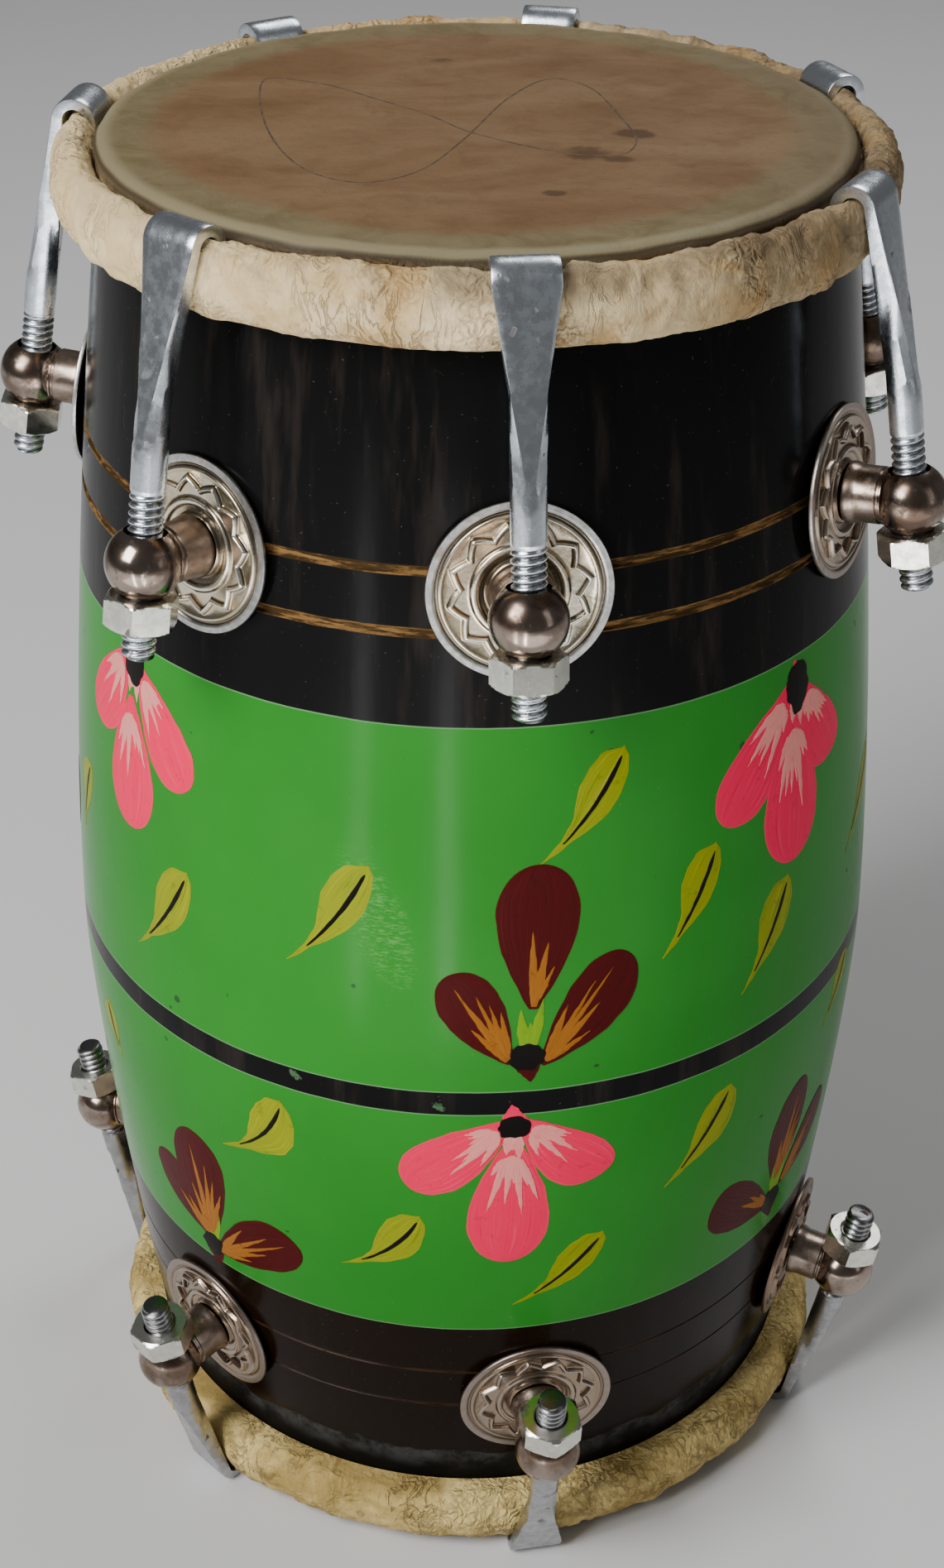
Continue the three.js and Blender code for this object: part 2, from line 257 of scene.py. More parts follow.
class Paint:
    # a material; fixed sockets never vary, and set gives the ones that do
    def __init__(self, name, **fixed):
        self.material = bpy.data.materials.new(name)
        self.material.use_nodes = True
        self.tree = self.material.node_tree
        self.shader = self.tree.nodes["Principled BSDF"]
        for socket, value in fixed.items():
            self.shader.inputs[socket.replace("_", " ")].default_value = value

    def node(self, kind, settings=None, sockets=None, output=0):
        made = self.tree.nodes.new(kind)
        for key, value in (settings or {}).items():
            setattr(made, key, value)
        for key, value in (sockets or {}).items():
            self.feed(made.inputs[key], value)
        return Wire(self, made.outputs[output])

    def feed(self, socket, value):
        if isinstance(value, Wire):
            self.tree.links.new(value.socket, socket)
        else:
            socket.default_value = value

    def set(self, **sockets):
        for socket, value in sockets.items():
            self.feed(self.shader.inputs[socket.replace("_", " ")], value)
        return self.material

    def place(self):
        # the piece's own coordinates, in metres
        return self.node("ShaderNodeTexCoord", output="Object")

    def spot(self):
        return self.node("ShaderNodeAttribute", {"attribute_name": "spot"}, output="Vector")

    def split(self, vector):
        made = self.node("ShaderNodeSeparateXYZ", {}, {0: vector}).socket.node
        return [Wire(self, made.outputs[k]) for k in range(3)]

    def vector(self, x, y, z):
        return self.node("ShaderNodeCombineXYZ", {}, {0: x, 1: y, 2: z})

    def stretched(self, vector, x, y, z):
        return self.node("ShaderNodeVectorMath", {"operation": "MULTIPLY"}, {0: vector, 1: (x, y, z)})

    def clouds(self, vector, scale, detail=3, rough=.5, distortion=0):
        sockets = {"Vector": vector, "Scale": scale, "Detail": detail, "Roughness": rough,
                   "Distortion": distortion}
        return self.node("ShaderNodeTexNoise", {}, sockets)

    def cracks(self, vector, scale):
        # distance to the edge of the nearest cell
        sockets = {"Vector": vector, "Scale": scale, "Randomness": 1}
        return self.node("ShaderNodeTexVoronoi", {"feature": "DISTANCE_TO_EDGE"}, sockets)

    def ramp(self, value, low, high, start=0, stop=1):
        # a smooth step from start to stop while value goes from low to high
        settings = {"interpolation_type": "SMOOTHSTEP"}
        sockets = {"Value": value, "From Min": low, "From Max": high, "To Min": start, "To Max": stop}
        return self.node("ShaderNodeMapRange", settings, sockets)

    def band(self, value, middle, half, soft):
        # 1 within half of the middle, fading out over soft
        return self.ramp(abs(value - middle), half, half + soft, 1, 0)

    def blend(self, share, first, second):
        colours = [c if isinstance(c, Wire) else (*c, 1) for c in (first, second)]
        sockets = {"Factor": share, 6: colours[0], 7: colours[1]}
        return self.node("ShaderNodeMix", {"data_type": "RGBA"}, sockets, 2)

    def bump(self, height, distance, strength=1):
        sockets = {"Height": height, "Distance": distance, "Strength": strength}
        return self.node("ShaderNodeBump", {}, sockets)


# Lacquered barrel: green with black ends and one black stripe, heights in mm

lacquer = {
    "green": (.020, .213, .018), "fresh": (.026, .24, .024), "olive": (.038, .18, .013),
    "black": (.005, .005, .005), "brownBlack": (.009, .004, .0018), "streak": (.028, .022, .018),
    "lowEdge": 99.9, "stripeLow": 192.5, "stripeHigh": 200.9, "highEdge": 320,
    "edge": (.16, .36, .15), "edgeHalf": .12, "edgeSoft": .16,
    "dust": (.30, .32, .28), "pit": (.02, .09, .02),
    "lap": (.055, .055, .052), "lapDark": (.004, .004, .004), "lapTop": 36,
}
# grooves turned in the wood; floor is the share of the width that is flat
grooves = {"high": (347, 364.3), "half": 1.25, "depth": .7, "floor": .6,
           "tan": (.25, .135, .045), "tanDark": (.05, .028, .01),
           "low": (61.2, 78.3), "lowHalf": .45, "lowDepth": .25, "brown": (.045, .022, .012)}
# worn patches, the rubbed one painted paler as partly a painted sheen, in metres: (x, z) of the middle,
# then half width and half height; they are only on the front, where y is below these two
worn = {"rubAndSheen": (-.0285, .258), "rubLean": .3, "rubSize": (.011, .026), "rubSheenColour": (.22, .52, .14),
        "scuffs": ((-.0539, .1985), (-.0113, .1955)), "scuffLean": .5, "scuffSize": (.0019, .0017),
        "scuffColour": (.12, .27, .12), "front": (-.05, -.04)}


def patchOn(x, z, at, lean, size):
    # the square of the distance from a leaning patch's middle, 1 at its edge
    offX = (x - at[0] + (z - at[1]) * lean) / size[0]
    offZ = (z - at[1]) / size[1]
    return offX * offX + offZ * offZ


def lacquerPaint():
    paint = Paint("lacquer", Specular_IOR_Level=.06)
    place = paint.place()
    x, y, z = paint.split(place)
    height = z * 1000
    wave = height + (paint.clouds(place, 35, 2) - .5) * .8
    soft = lacquer["edgeHalf"]
    low = paint.ramp(wave, lacquer["lowEdge"] - soft, lacquer["lowEdge"] + soft, 1, 0)
    high = paint.ramp(wave, lacquer["highEdge"] - soft, lacquer["highEdge"] + soft)
    middle = (lacquer["stripeLow"] + lacquer["stripeHigh"]) / 2
    stripe = paint.band(wave, middle, (lacquer["stripeHigh"] - lacquer["stripeLow"]) / 2 - soft, 2 * soft)
    black = (low + high + stripe).kept()
    mottle = paint.clouds(place, 9, 4, .6)
    green = paint.blend(paint.ramp(mottle, .35, .7), lacquer["green"], lacquer["fresh"])
    green = paint.blend(paint.ramp(paint.clouds(place, 4, 2), .52, .75, 0, .2), green, lacquer["olive"])
    dark = paint.blend(low, lacquer["black"], lacquer["brownBlack"])
    streaks = paint.clouds(paint.stretched(place, 1, 1, .07), 95, 4, .65)
    dark = paint.blend(paint.ramp(streaks, .52, .72) * (.6 - low * .45), dark, lacquer["streak"])
    colour = paint.blend(black, green, dark)
    for edge in (lacquer["lowEdge"], lacquer["stripeLow"], lacquer["stripeHigh"], lacquer["highEdge"]):
        line = paint.band(wave, edge, soft, lacquer["edgeSoft"])
        colour = paint.blend(line * .75, colour, lacquer["edge"])

    # fine brushed scratches, dust and pits
    scratches = paint.clouds(paint.stretched(place, 1, 1, .04), 520, 2, .6)
    scratch = paint.ramp(scratches, .66, .78) * paint.ramp(paint.clouds(place, 12, 2), .45, .6)
    dust = paint.ramp(paint.clouds(place, 1100, 1), .74, .80)
    colour = paint.blend(dust * .12, colour, lacquer["dust"])
    pits = paint.ramp(paint.clouds(place, 210, 0), .845, .86)
    colour = paint.blend(pits * (1 - black), colour, lacquer["pit"])

    # one dry rubbed patch left of the front flower, its fine scratches painted paler: partly wear, partly a
    # painted sheen
    front = paint.ramp(y, *worn["front"], 1, 0)
    inside = paint.ramp(patchOn(x, z, worn["rubAndSheen"], worn["rubLean"], worn["rubSize"]), .1, 1, 1, 0)
    hatch = paint.ramp(paint.clouds(paint.stretched(place, 1, 1, 4.5), 380, 4, .75), .48, .66)
    rubAndSheen = inside * front * hatch
    colour = paint.blend(rubAndSheen * .5, colour, worn["rubSheenColour"])

    # two scuffs on the stripe
    for scuff in worn["scuffs"]:
        near = patchOn(x, z, scuff, worn["scuffLean"], worn["scuffSize"])
        near = near + (paint.clouds(place, 900, 2) - .5) * 3
        bare = paint.ramp(near, .2, 1, .5, 0) * front
        colour = paint.blend(bare, colour, worn["scuffColour"])

    # turned grooves, bare wood showing in the upper two
    ragged = height + (paint.clouds(place, 45, 4, .7) - .5) * .7
    first, second = [paint.band(ragged, middle, grooves["half"], .35) for middle in grooves["high"]]
    groove = first + second
    grain = paint.clouds(paint.stretched(place, 1, 1, 11), 85, 4, .75)
    tan = paint.blend(paint.ramp(grain, .46, .6), grooves["tanDark"], grooves["tan"])
    colour = paint.blend(groove, colour, tan)
    for middle in grooves["low"]:
        line = paint.band(height, middle, grooves["lowHalf"], .4) * paint.ramp(grain, .35, .6)
        colour = paint.blend(line, colour, grooves["brown"])

    # the black lap of skin above the bottom hoop, matt with a cloudy grey edge
    ragged = height + (paint.clouds(place, 22, 4, .6) - .5) * 22
    lap = paint.ramp(ragged, lacquer["lapTop"] - .5, lacquer["lapTop"] + 1, 1, 0)
    cloudy = paint.ramp(ragged, lacquer["lapTop"] - 12, lacquer["lapTop"] - 1)
    cloudy = cloudy * paint.ramp(paint.clouds(place, 90, 4, .7), .38, .62, .15, 1)
    colour = paint.blend(lap, colour, paint.blend(cloudy, lacquer["lapDark"], lacquer["lap"]))

    rough = .13 + paint.clouds(place, 25, 4, .6) * .12 + scratch * .18 + dust * .2 + rubAndSheen * .4
    rough = (rough + groove * .5 + lap * .42).kept()
    waves = paint.clouds(paint.stretched(place, 1, 1, .25), 60, 3, .55)
    fine = paint.clouds(place, 700, 2, .6)
    relief = waves * .5 + fine * .035 + scratches * .05 + pits * -.2 + rubAndSheen * .1
    return paint.set(Base_Color=colour, Roughness=rough, Normal=paint.bump(relief, .0007, .35))


def barrelOutline(low, high):
    # (height, depth of the cut) up the outside, with a ring wherever a groove turns
    heights = [low + barrel["chamfer"]]
    while heights[-1] + barrel["step"] < high - barrel["chamfer"]:
        heights.append(heights[-1] + barrel["step"])
    heights.append(high - barrel["chamfer"])
    cuts = [(middle, grooves["half"], grooves["depth"]) for middle in grooves["high"]]
    cuts += [(middle, grooves["lowHalf"], grooves["lowDepth"]) for middle in grooves["low"]]
    outline = []
    for height in heights:
        if all(abs(height - middle) > 2 * half for middle, half, deep in cuts):
            outline.append((height, 0))
    for middle, half, deep in cuts:
        flat = half * grooves["floor"]
        outline += [(middle - half, 0), (middle - flat, deep), (middle + flat, deep), (middle + half, 0)]
    return sorted(outline)


def barrelShape():
    low = ends["bottom"]["skin"] + barrel["gap"]
    high = barrel["height"] - ends["top"]["skin"] - barrel["gap"]
    rings = [(barrelRadius(low) - barrel["chamfer"], low)]
    rings += [(barrelRadius(height) - deep, height) for height, deep in barrelOutline(low, high)]
    rings += [(barrelRadius(high) - barrel["chamfer"], high)]
    for k in range(barrel["liningSteps"] + 1):
        height = mix(high, low, k / barrel["liningSteps"])
        rings.append((barrelRadius(height) - barrel["wall"], height))
    shape = skin([ringOf(radius, height, barrel["around"]) for radius, height in rings], looped=True)
    inward, outward = barrel["overrun"]
    drills = []
    for end, number in lugs:
        hole = lugFrame(end, number)
        rings = [ringOf(barrel["shankHole"], z, barrel["holeSides"])
                 for z in (-barrel["wall"] - inward, outward)]
        drills.append(skin([[tuple(hole @ Vector(p)) for p in ring] for ring in rings]))
    return drilled(shape, together(drills))


print("barrel")
piece("barrel", barrelShape(), lacquerPaint(), replaced=["shell"], sharp=30)


# Hooks, drawn in the rod's frame: a threaded bar, a blade that widens, an arch and a lip behind it

# rod is a radius; facet, in degrees, and the power square shape the blade's edges; each cut of the
# lip is how far along it is, the share of the thickness left and what comes off the half width
hook = {"rod": 4.76, "tip": 27, "tipRound": 1.3, "tipNarrow": .2, "rodSteps": 3,
        "threadEnd": {"top": 21, "bottom": 14}, "pitch": 2.309, "threadDepth": .85, "threadStep": .27,
        "blade": {"top": 55, "bottom": 43}, "bladeSteps": 30, "width": 17.5, "tipWidth": 16.8,
        "thickness": 3.4, "facet": 42, "square": 14, "bend": 3.2, "bendSteps": 20,
        "lip": 4, "lipCuts": ((.3, 1, 0), (.7, 1, 0), (.93, .85, .4), (1, .45, 1))}


def hookPlan(end):
    # the arch over the roll, in the rod's frame
    stand = endFrames[end].inverted() @ rodFrame(end, 1)
    lean = math.acos(stand.col[2].z)
    ballAt = Vector((math.hypot(stand.translation.x, stand.translation.y), stand.translation.z))
    archX = -hook["rod"] - hook["bend"]
    under = -ends[end]["drop"] + barrel["gap"]
    archZ = (under - hook["bend"] - ballAt.y - archX * math.sin(lean)) / math.cos(lean)
    return {"lean": lean, "ball": ballAt, "archX": archX, "archZ": archZ, "under": under}


def barSection(front, half, share):
    # one cut across the hook: a round bar with a flat in front, growing into a wide flat plate
    depth = (front + hook["rod"]) / 2
    middle = front - depth
    corner = mix(math.pi / 4, math.atan2(max(half, .05), depth), smooth(share, 0, .15))
    shares = (-1, -.94, -.72, -.36, 0, .36, .72, .94)
    sides = (0, .07, .28, .5, .72, .93)
    angles = [corner * s for s in shares]
    angles += [mix(corner, math.pi - corner, s) for s in sides]
    angles += [math.pi + corner * s for s in shares]
    angles += [mix(math.pi + corner, fullTurn - corner, s) for s in sides]
    tilt = math.radians(hook["facet"]) * smooth(share, 0, .3)
    points = []
    for angle in angles:
        across, along = math.cos(angle), math.sin(angle)
        toward = middle * across
        reach = -toward + math.sqrt(toward ** 2 - middle ** 2 + hook["rod"] ** 2)
        if across > 0:
            reach = min(reach, depth / across)
        slope = across * math.cos(tilt) + abs(along) * math.sin(tilt)
        if slope > 0:
            reach = min(reach, (depth * math.cos(tilt) + half * math.sin(tilt)) / slope)
        if half > .3:
            square = (abs(across) / depth) ** hook["square"] + (abs(along) / half) ** hook["square"]
            reach = max(reach, square ** (-1 / hook["square"]))
        points.append((middle + reach * across, reach * along))
    return points


def threadRings(section, end):
    # the cut thread from the bar's tip up, running out into the plain bar
    pitch, stop = hook["pitch"], hook["threadEnd"][end]
    rings = []
    z = -hook["tip"]
    while z < stop + pitch:
        fade = smooth(z, stop, stop - 1.5 * pitch)
        rounding = math.sqrt(min(1, (z + hook["tip"]) / hook["tipRound"]))
        nose = min(1, 1 - hook["tipNarrow"] + hook["tipNarrow"] * rounding)
        ring = []
        for x, y in section:
            wave = .5 - .5 * math.cos(fullTurn * z / pitch - math.atan2(y, x))
            reach = nose * (1 - hook["threadDepth"] / hook["rod"] * fade * wave ** 1.3)
            ring.append((x * reach, y * reach, z))
        rings.append(ring)
        z += hook["threadStep"]
    return rings, z


def archRings(plan, back):
    # over the roll, then the lip
    rod, top, turn = hook["rod"], plan["archZ"], math.pi - plan["lean"]
    rings = []
    for k in range(1, hook["bendSteps"] + 1):
        share = k / hook["bendSteps"]
        angle = turn * k / hook["bendSteps"]
        ring = []
        for x, y in barSection(back, mix(hook["width"], hook["tipWidth"], share) / 2, 1):
            reach = hook["bend"] + x + rod
            ring.append((plan["archX"] + reach * math.cos(angle), y, top + reach * math.sin(angle)))
        rings.append(ring)
    ahead = Vector((-math.sin(turn), 0, math.cos(turn)))
    across = Vector((math.cos(turn), 0, math.sin(turn)))
    middle = hook["bend"] + hook["thickness"] / 2
    for travel, keep, trim in hook["lipCuts"]:
        ring = []
        for x, y in barSection(back, hook["tipWidth"] / 2 - trim, 1):
            reach = middle + (x + rod - hook["thickness"] / 2) * keep
            at = Vector((plan["archX"], 0, top)) + across * reach + ahead * hook["lip"] * travel
            ring.append((at.x, y, at.z))
        rings.append(ring)
    return rings


def hookShape(end):
    plan = hookPlan(end)
    rod, top = hook["rod"], plan["archZ"]
    foot = top - hook["blade"][end]
    plain = barSection(rod, 0, 0)
    rings, z = threadRings(plain, end)
    for k in range(hook["rodSteps"]):
        z = mix(z, foot, k / hook["rodSteps"])
        rings.append([(x, y, z) for x, y in plain])
    back = -rod + hook["thickness"]
    for k in range(hook["bladeSteps"] + 1):
        share = k / hook["bladeSteps"]
        section = barSection(mix(rod, back, share), hook["width"] / 2 * share, share)
        rings.append([(x, y, mix(foot, top, share)) for x, y in section])
    return skin(rings + archRings(plan, back))


# plating of the hooks at each end and of the nuts, and the marks that all of them have; the bottom hooks
# get a darker copy of the plating as painted shade, and root is painted shade in the thread roots
zinc = {
    "top": {"name": "zinc", "colour": (.88, .93, .97), "dull": (.66, .72, .79), "rough": .27},
    # the bottom hooks' plating is a darker copy of the top one: painted shade
    "bottom": {"name": "shadedZinc", "colour": (.50, .50, .51), "dull": (.36, .36, .37), "rough": .30},
    "nut": {"name": "nutZinc", "colour": (.90, .89, .79), "dull": (.70, .70, .63), "rough": .2},
    "brushed": (.85, .86, .87), "grime": (.07, .05, .04), "root": (.05, .05, .055),
    "rust": (.09, .035, .015),
}


def zincPaint(kind):
    # brushed plating, with grime, rust and painted shade in the thread roots
    tones = zinc[kind]
    paint = Paint(tones["name"], Metallic=1)
    spot = paint.spot()
    place = paint.place()
    x, y, z = paint.split(spot)
    mottle = paint.clouds(place, 320, 4, .65)
    broad = paint.clouds(place, 40, 3, .6)
    shade = (paint.ramp(mottle, .38, .62) * .6 + paint.ramp(broad, .4, .65) * .4).kept()
    tone = paint.blend(shade, tones["dull"], tones["colour"])
    brushed = paint.clouds(paint.stretched(spot, 1, 1, .05), 5, 3, .6)
    lines = paint.ramp(brushed, .62, .72)
    tone = paint.blend(lines * .25, tone, zinc["brushed"])
    grime = paint.ramp(paint.clouds(place, 95, 4, .7), .60, .70)
    tone = paint.blend(grime * .55, tone, zinc["grime"])
    # painted shade in the thread roots, on the threaded part only
    reach = (x * x + y * y) ** .5
    root = paint.ramp(reach, hook["rod"] - .75, hook["rod"] - .25, .65, 0)
    threadTop = hook["threadEnd"]["top"]
    threaded = paint.ramp(z, threadTop + 1, threadTop + 2, 1, 0)
    tone = paint.blend(root * threaded, tone, zinc["root"])
    rust = paint.ramp(paint.clouds(place, 210, 2), .70, .75)
    tone = paint.blend(rust * .7, tone, zinc["rust"])
    roughness = (tones["rough"] + shade * -.12 + grime * .2 + rust * .3 + brushed * .1).kept()
    height = mottle * .2 + brushed * .3 + rust * -.4
    return paint.set(Base_Color=tone, Roughness=roughness, Normal=paint.bump(height, .0003, .35))


print("hooks")
hookShapes = {end: hookShape(end) for end in ends}
hookZincs = {end: zincPaint(end) for end in ends}
for end, number in lugs:
    name = f"{end}_hook_{number}"
    piece(f"hook_{end}_{number}", hookShapes[end], hookZincs[end], body=name,
          replaced=[name], place=rodFrame(end, number), sharp=40)


# Tuning nuts

nut = {"acrossFlats": 18, "height": 9, "bore": 4.95, "mouth": .55, "around": 72,
       "face": 8.7, "slope": 1.75, "chamferCuts": (0, .35, .7, 1.1, 2),
       "turns": {"top": (30, 12, 48, 25, 5, 40, 33), "bottom": (0, 22, 50, 8, 35, 15, 30)}}
ball = {"radius": 10.5, "reach": 21, "bore": 5.9}


def nutShape():
    # both faces are chamfered by a cone, and the bore is countersunk
    top = -math.sqrt(ball["radius"] ** 2 - ball["bore"] ** 2) - barrel["gap"]
    outline = [(nut["bore"], -nut["mouth"]), (nut["bore"] + nut["mouth"], 0)]
    for deep in nut["chamferCuts"]:
        outline.append((hexagon(nut["acrossFlats"], nut["face"] + nut["slope"] * deep), -deep))
    rings = [(radius, top + z) for radius, z in outline]
    rings += [(radius, top - nut["height"] - z) for radius, z in reversed(outline)]
    rings.append((nut["bore"], top - nut["height"] / 2))
    return skin([ringOf(radius, z, nut["around"]) for radius, z in rings], looped=True)


print("nuts")
nutZinc = zincPaint("nut")
nutPoints = nutShape()
for end, number in lugs:
    name = f"{end}_nut_{number}"
    turned = Matrix.Rotation(math.radians(nut["turns"][end][number - 1]), 4, "Z")
    piece(f"nut_{end}_{number}", nutPoints, nutZinc, body=name, replaced=[name],
          place=rodFrame(end, number) @ turned, sharp=25)


# Eye bolts, turned about the line that points out of the barrel

# sizes across are radii but for backFlats; drill is half the bore's length
bolt = {"neck": 8.2, "groove": .55, "grooveCuts": (1.6, 1.25, .75, .35), "around": 60,
        "collar": 8.9, "collarHeight": 4, "collarEdge": .3, "collarFoot": .5, "collarSteps": 4, "seat": 3.2,
        "shank": 3.9, "tip": 3, "tipChamfer": .5, "washer": 9.5, "washerThick": 1.5,
        "backFlats": 13, "backHeight": 6.5, "ballSteps": 26,
        "drill": 14, "flare": 3, "flareDepth": 4.7, "boreSides": 48}


def boltBack(end):
    # the shank inside the barrel, with its back nut and washer, up to the collar
    lining = barrelRadius(ends[end]["lug"]) - barrel["wall"]
    washerTop = -barrel["wall"] - bolt["washer"] ** 2 / (2 * lining) - 2 * barrel["gap"]
    washerBack = washerTop - bolt["washerThick"]
    nutBack = washerBack - bolt["backHeight"]
    tip = nutBack - bolt["tip"]
    flats = hexagon(bolt["backFlats"])
    shank, seat = bolt["shank"], bolt["seat"]
    return [(0, tip), (shank - bolt["tipChamfer"], tip), (shank, tip + bolt["tipChamfer"]),
            (shank, nutBack), (flats, nutBack), (flats, washerBack), (bolt["washer"], washerBack),
            (bolt["washer"], washerTop), (shank, washerTop), (shank, seat),
            (bolt["collar"] - bolt["collarEdge"], seat), (bolt["collar"], seat + bolt["collarEdge"])]


def boltFront():
    # the waisted collar, a groove and the ball
    neck, seat = bolt["neck"], bolt["seat"]
    outline = []
    for k in range(bolt["collarSteps"] + 1):
        share = k / bolt["collarSteps"]
        radius = mix(bolt["collar"], neck, smooth(share, 0, 1))
        outline.append((radius, seat + mix(bolt["collarFoot"], bolt["collarHeight"], share)))
    meet = ball["reach"] - math.sqrt(ball["radius"] ** 2 - neck ** 2)
    radii = (neck, neck - bolt["groove"], neck - bolt["groove"], neck)
    outline += [(radius, meet - below) for radius, below in zip(radii, bolt["grooveCuts"])]
    first = -math.acos(neck / ball["radius"])
    for k in range(bolt["ballSteps"]):
        angle = mix(first, math.pi / 2, k / bolt["ballSteps"])
        outline.append((ball["radius"] * math.cos(angle), ball["reach"] + ball["radius"] * math.sin(angle)))
    outline.append((0, ball["reach"] + ball["radius"]))
    return outline


def boltShape(end):
    rings = []
    for radius, z in boltBack(end) + boltFront():
        rings.append([(0, 0, z)] if radius == 0 else ringOf(radius, z, bolt["around"]))
    # the rod's bore, flared at both mouths
    rod = (lugFrame(end, 1).inverted() @ rodFrame(end, 1)).to_3x3() @ Vector((0, 0, 1))
    lay = Matrix.Translation((0, 0, ball["reach"])) @ rod.to_track_quat("Z", "Y").to_matrix().to_4x4()
    far, near = bolt["drill"], bolt["drill"] - bolt["flareDepth"]
    mouth = ball["bore"] + bolt["flare"]
    profile = [(mouth, -far), (ball["bore"], -near), (ball["bore"], near), (mouth, far)]
    bore = [[tuple(lay @ Vector(p)) for p in ringOf(radius, z, bolt["boreSides"])]
            for radius, z in profile]
    return drilled(skin(rings), skin(bore))


bronze = {"dark": (.17, .115, .085), "light": (.40, .32, .27), "spot": (.09, .055, .038),
          "neck": (.22, .16, .12), "foot": (.05, .035, .025), "neckTop": (12.5, 14.5), "footShadeTop": (3, 5.5)}


def bronzePaint():
    # blotched plating, duller on the neck, with painted shade at the foot where it meets the rosette
    paint = Paint("bronzeNickel", Metallic=1)
    place = paint.place()
    x, y, z = paint.split(paint.spot())
    blotch = paint.clouds(place, 60, 4, .65, .4)
    spots = paint.clouds(place, 260, 3, .6)
    tone = paint.blend(paint.ramp(blotch, .35, .62), bronze["dark"], bronze["light"])
    tone = paint.blend(paint.ramp(spots, .58, .7) * .5, tone, bronze["spot"])
    neck = paint.ramp(z, *bronze["neckTop"], 1, 0)
    tone = paint.blend(neck * paint.ramp(spots, .35, .6) * .55, tone, bronze["neck"])
    # painted shade at the collar's foot, where it meets the rosette
    foot = paint.ramp(z, *bronze["footShadeTop"], .6, 0)
    tone = paint.blend(foot, tone, bronze["foot"])
    rough = (.13 + paint.ramp(blotch, .62, .4) * .12 + paint.ramp(spots, .55, .7) * .2 + neck * .12).kept()
    height = spots * .3 + paint.clouds(place, 30, 2) * .8
    return paint.set(Base_Color=tone, Roughness=rough, Normal=paint.bump(height, .0003, .35))


print("eye bolts")
boltShapes = {end: boltShape(end) for end in ends}
boltPaint = bronzePaint()
for end, number in lugs:
    piece(f"eyebolt_{end}_{number}", boltShapes[end], boltPaint,
          replaced=[f"{end}_eyebolt_{number}"], place=lugFrame(end, number), sharp=32)


# Rosettes: pressed plates with a flat rim, a zigzag star and a smooth ring

# each ridge is its height, its middle's radius, and where its crest and its foot end from there;
# the zigzag's middle wanders, so it is measured from its own line, and so are the star's cuts
rosette = {"radius": 25, "hole": 4.3, "under": .3, "sheet": 1.2, "backEdge": .25, "edgeDrop": .35,
           "around": 192, "highest": 2.6, "rim": 22.7, "star": 17.2, "starSwing": 1.5, "points": 12,
           "rimGroove": (-.5, 22.1, .25, .75), "bead": (.35, 21, .3, .9),
           "zigzag": (1.35, 0, .25, 1.2), "ring": (1.05, 12.2, .4, 1.3),
           "hollow": (-.5, (11, 9.6), (8.3, 9.4)), "middle": (1.0, (9.4, 8.6)),
           "outerCuts": (24.8, 24.4, 23.6, 22.9, 22.6, 22.35, 22.1, 21.8, 21.5, 21.2, 20.9, 20.5, 20.1),
           "starCuts": (1.4, 1.2, .95, .72, .5, .25, -.25, -.5, -.72, -.95, -1.2, -1.4),
           "innerCuts": (14.1, 13.6, 13.2, 12.9, 12.6, 12.3, 12, 11.7, 11.3, 10.9, 10.5, 10, 9.5, 9.1,
                         8.7, 8.2, 6)}


def ridge(name, at):
    height, middle, crest, foot = rosette[name]
    return height * (1 - smooth(abs(at - middle), crest, foot))


def rosetteHeight(radius, offStar):
    # how high the pressed face stands over the plate's back; offStar is the distance from the zigzag
    height = rosette["sheet"] + ridge("rimGroove", radius) + ridge("bead", radius)
    height += ridge("zigzag", offStar)
    height += ridge("ring", radius)
    depth, outside, inside = rosette["hollow"]
    height += depth * smooth(radius, *outside) * smooth(radius, *inside)
    rise, slope = rosette["middle"]
    height += rise * smooth(radius, *slope)
    return min(rosette["highest"], height)


def zigzag(angle):
    share = angle * rosette["points"] / fullTurn % 1
    return rosette["star"] + rosette["starSwing"] * (4 * abs(share - .5) - 1)


def rosetteShape():
    back, around = rosette["under"], rosette["around"]
    rings = [ringOf(rosette["hole"], back, around),
             ringOf(rosette["radius"] - rosette["backEdge"], back, around)]
    cuts = [(radius, False) for radius in (rosette["radius"], *rosette["outerCuts"])]
    cuts += [(off, True) for off in rosette["starCuts"]]
    cuts += [(radius, False) for radius in (*rosette["innerCuts"], rosette["hole"])]
    for measure, onStar in cuts:
        drop = rosette["edgeDrop"] if measure == rosette["radius"] else 0
        ring = []
        for i in range(around):
            angle = fullTurn * i / around
            radius = zigzag(angle) + measure if onStar else measure
            height = rosetteHeight(radius, measure if onStar else math.inf)
            ring.append((radius * math.cos(angle), radius * math.sin(angle), back + height - drop))
        rings.append(ring)
    return skin(rings, looped=True)


# crest is a painted highlight, slope and groove are painted shade, and brownReflection is a painted
# reflection
nickel = {"field": (.95, .88, .72), "fieldDull": (.78, .66, .46), "rim": (.68, .68, .67),
          "rimDull": (.52, .52, .51), "groove": (.07, .05, .04), "slope": (.13, .085, .05),
          "crest": (.93, .92, .88), "middle": (.16, .115, .075), "tarnish": (.24, .15, .09),
          "brownReflection": (.30, .21, .155), "slopeShadeHeight": 1.85, "crestHighlightHeight": (2.35, 2.7)}


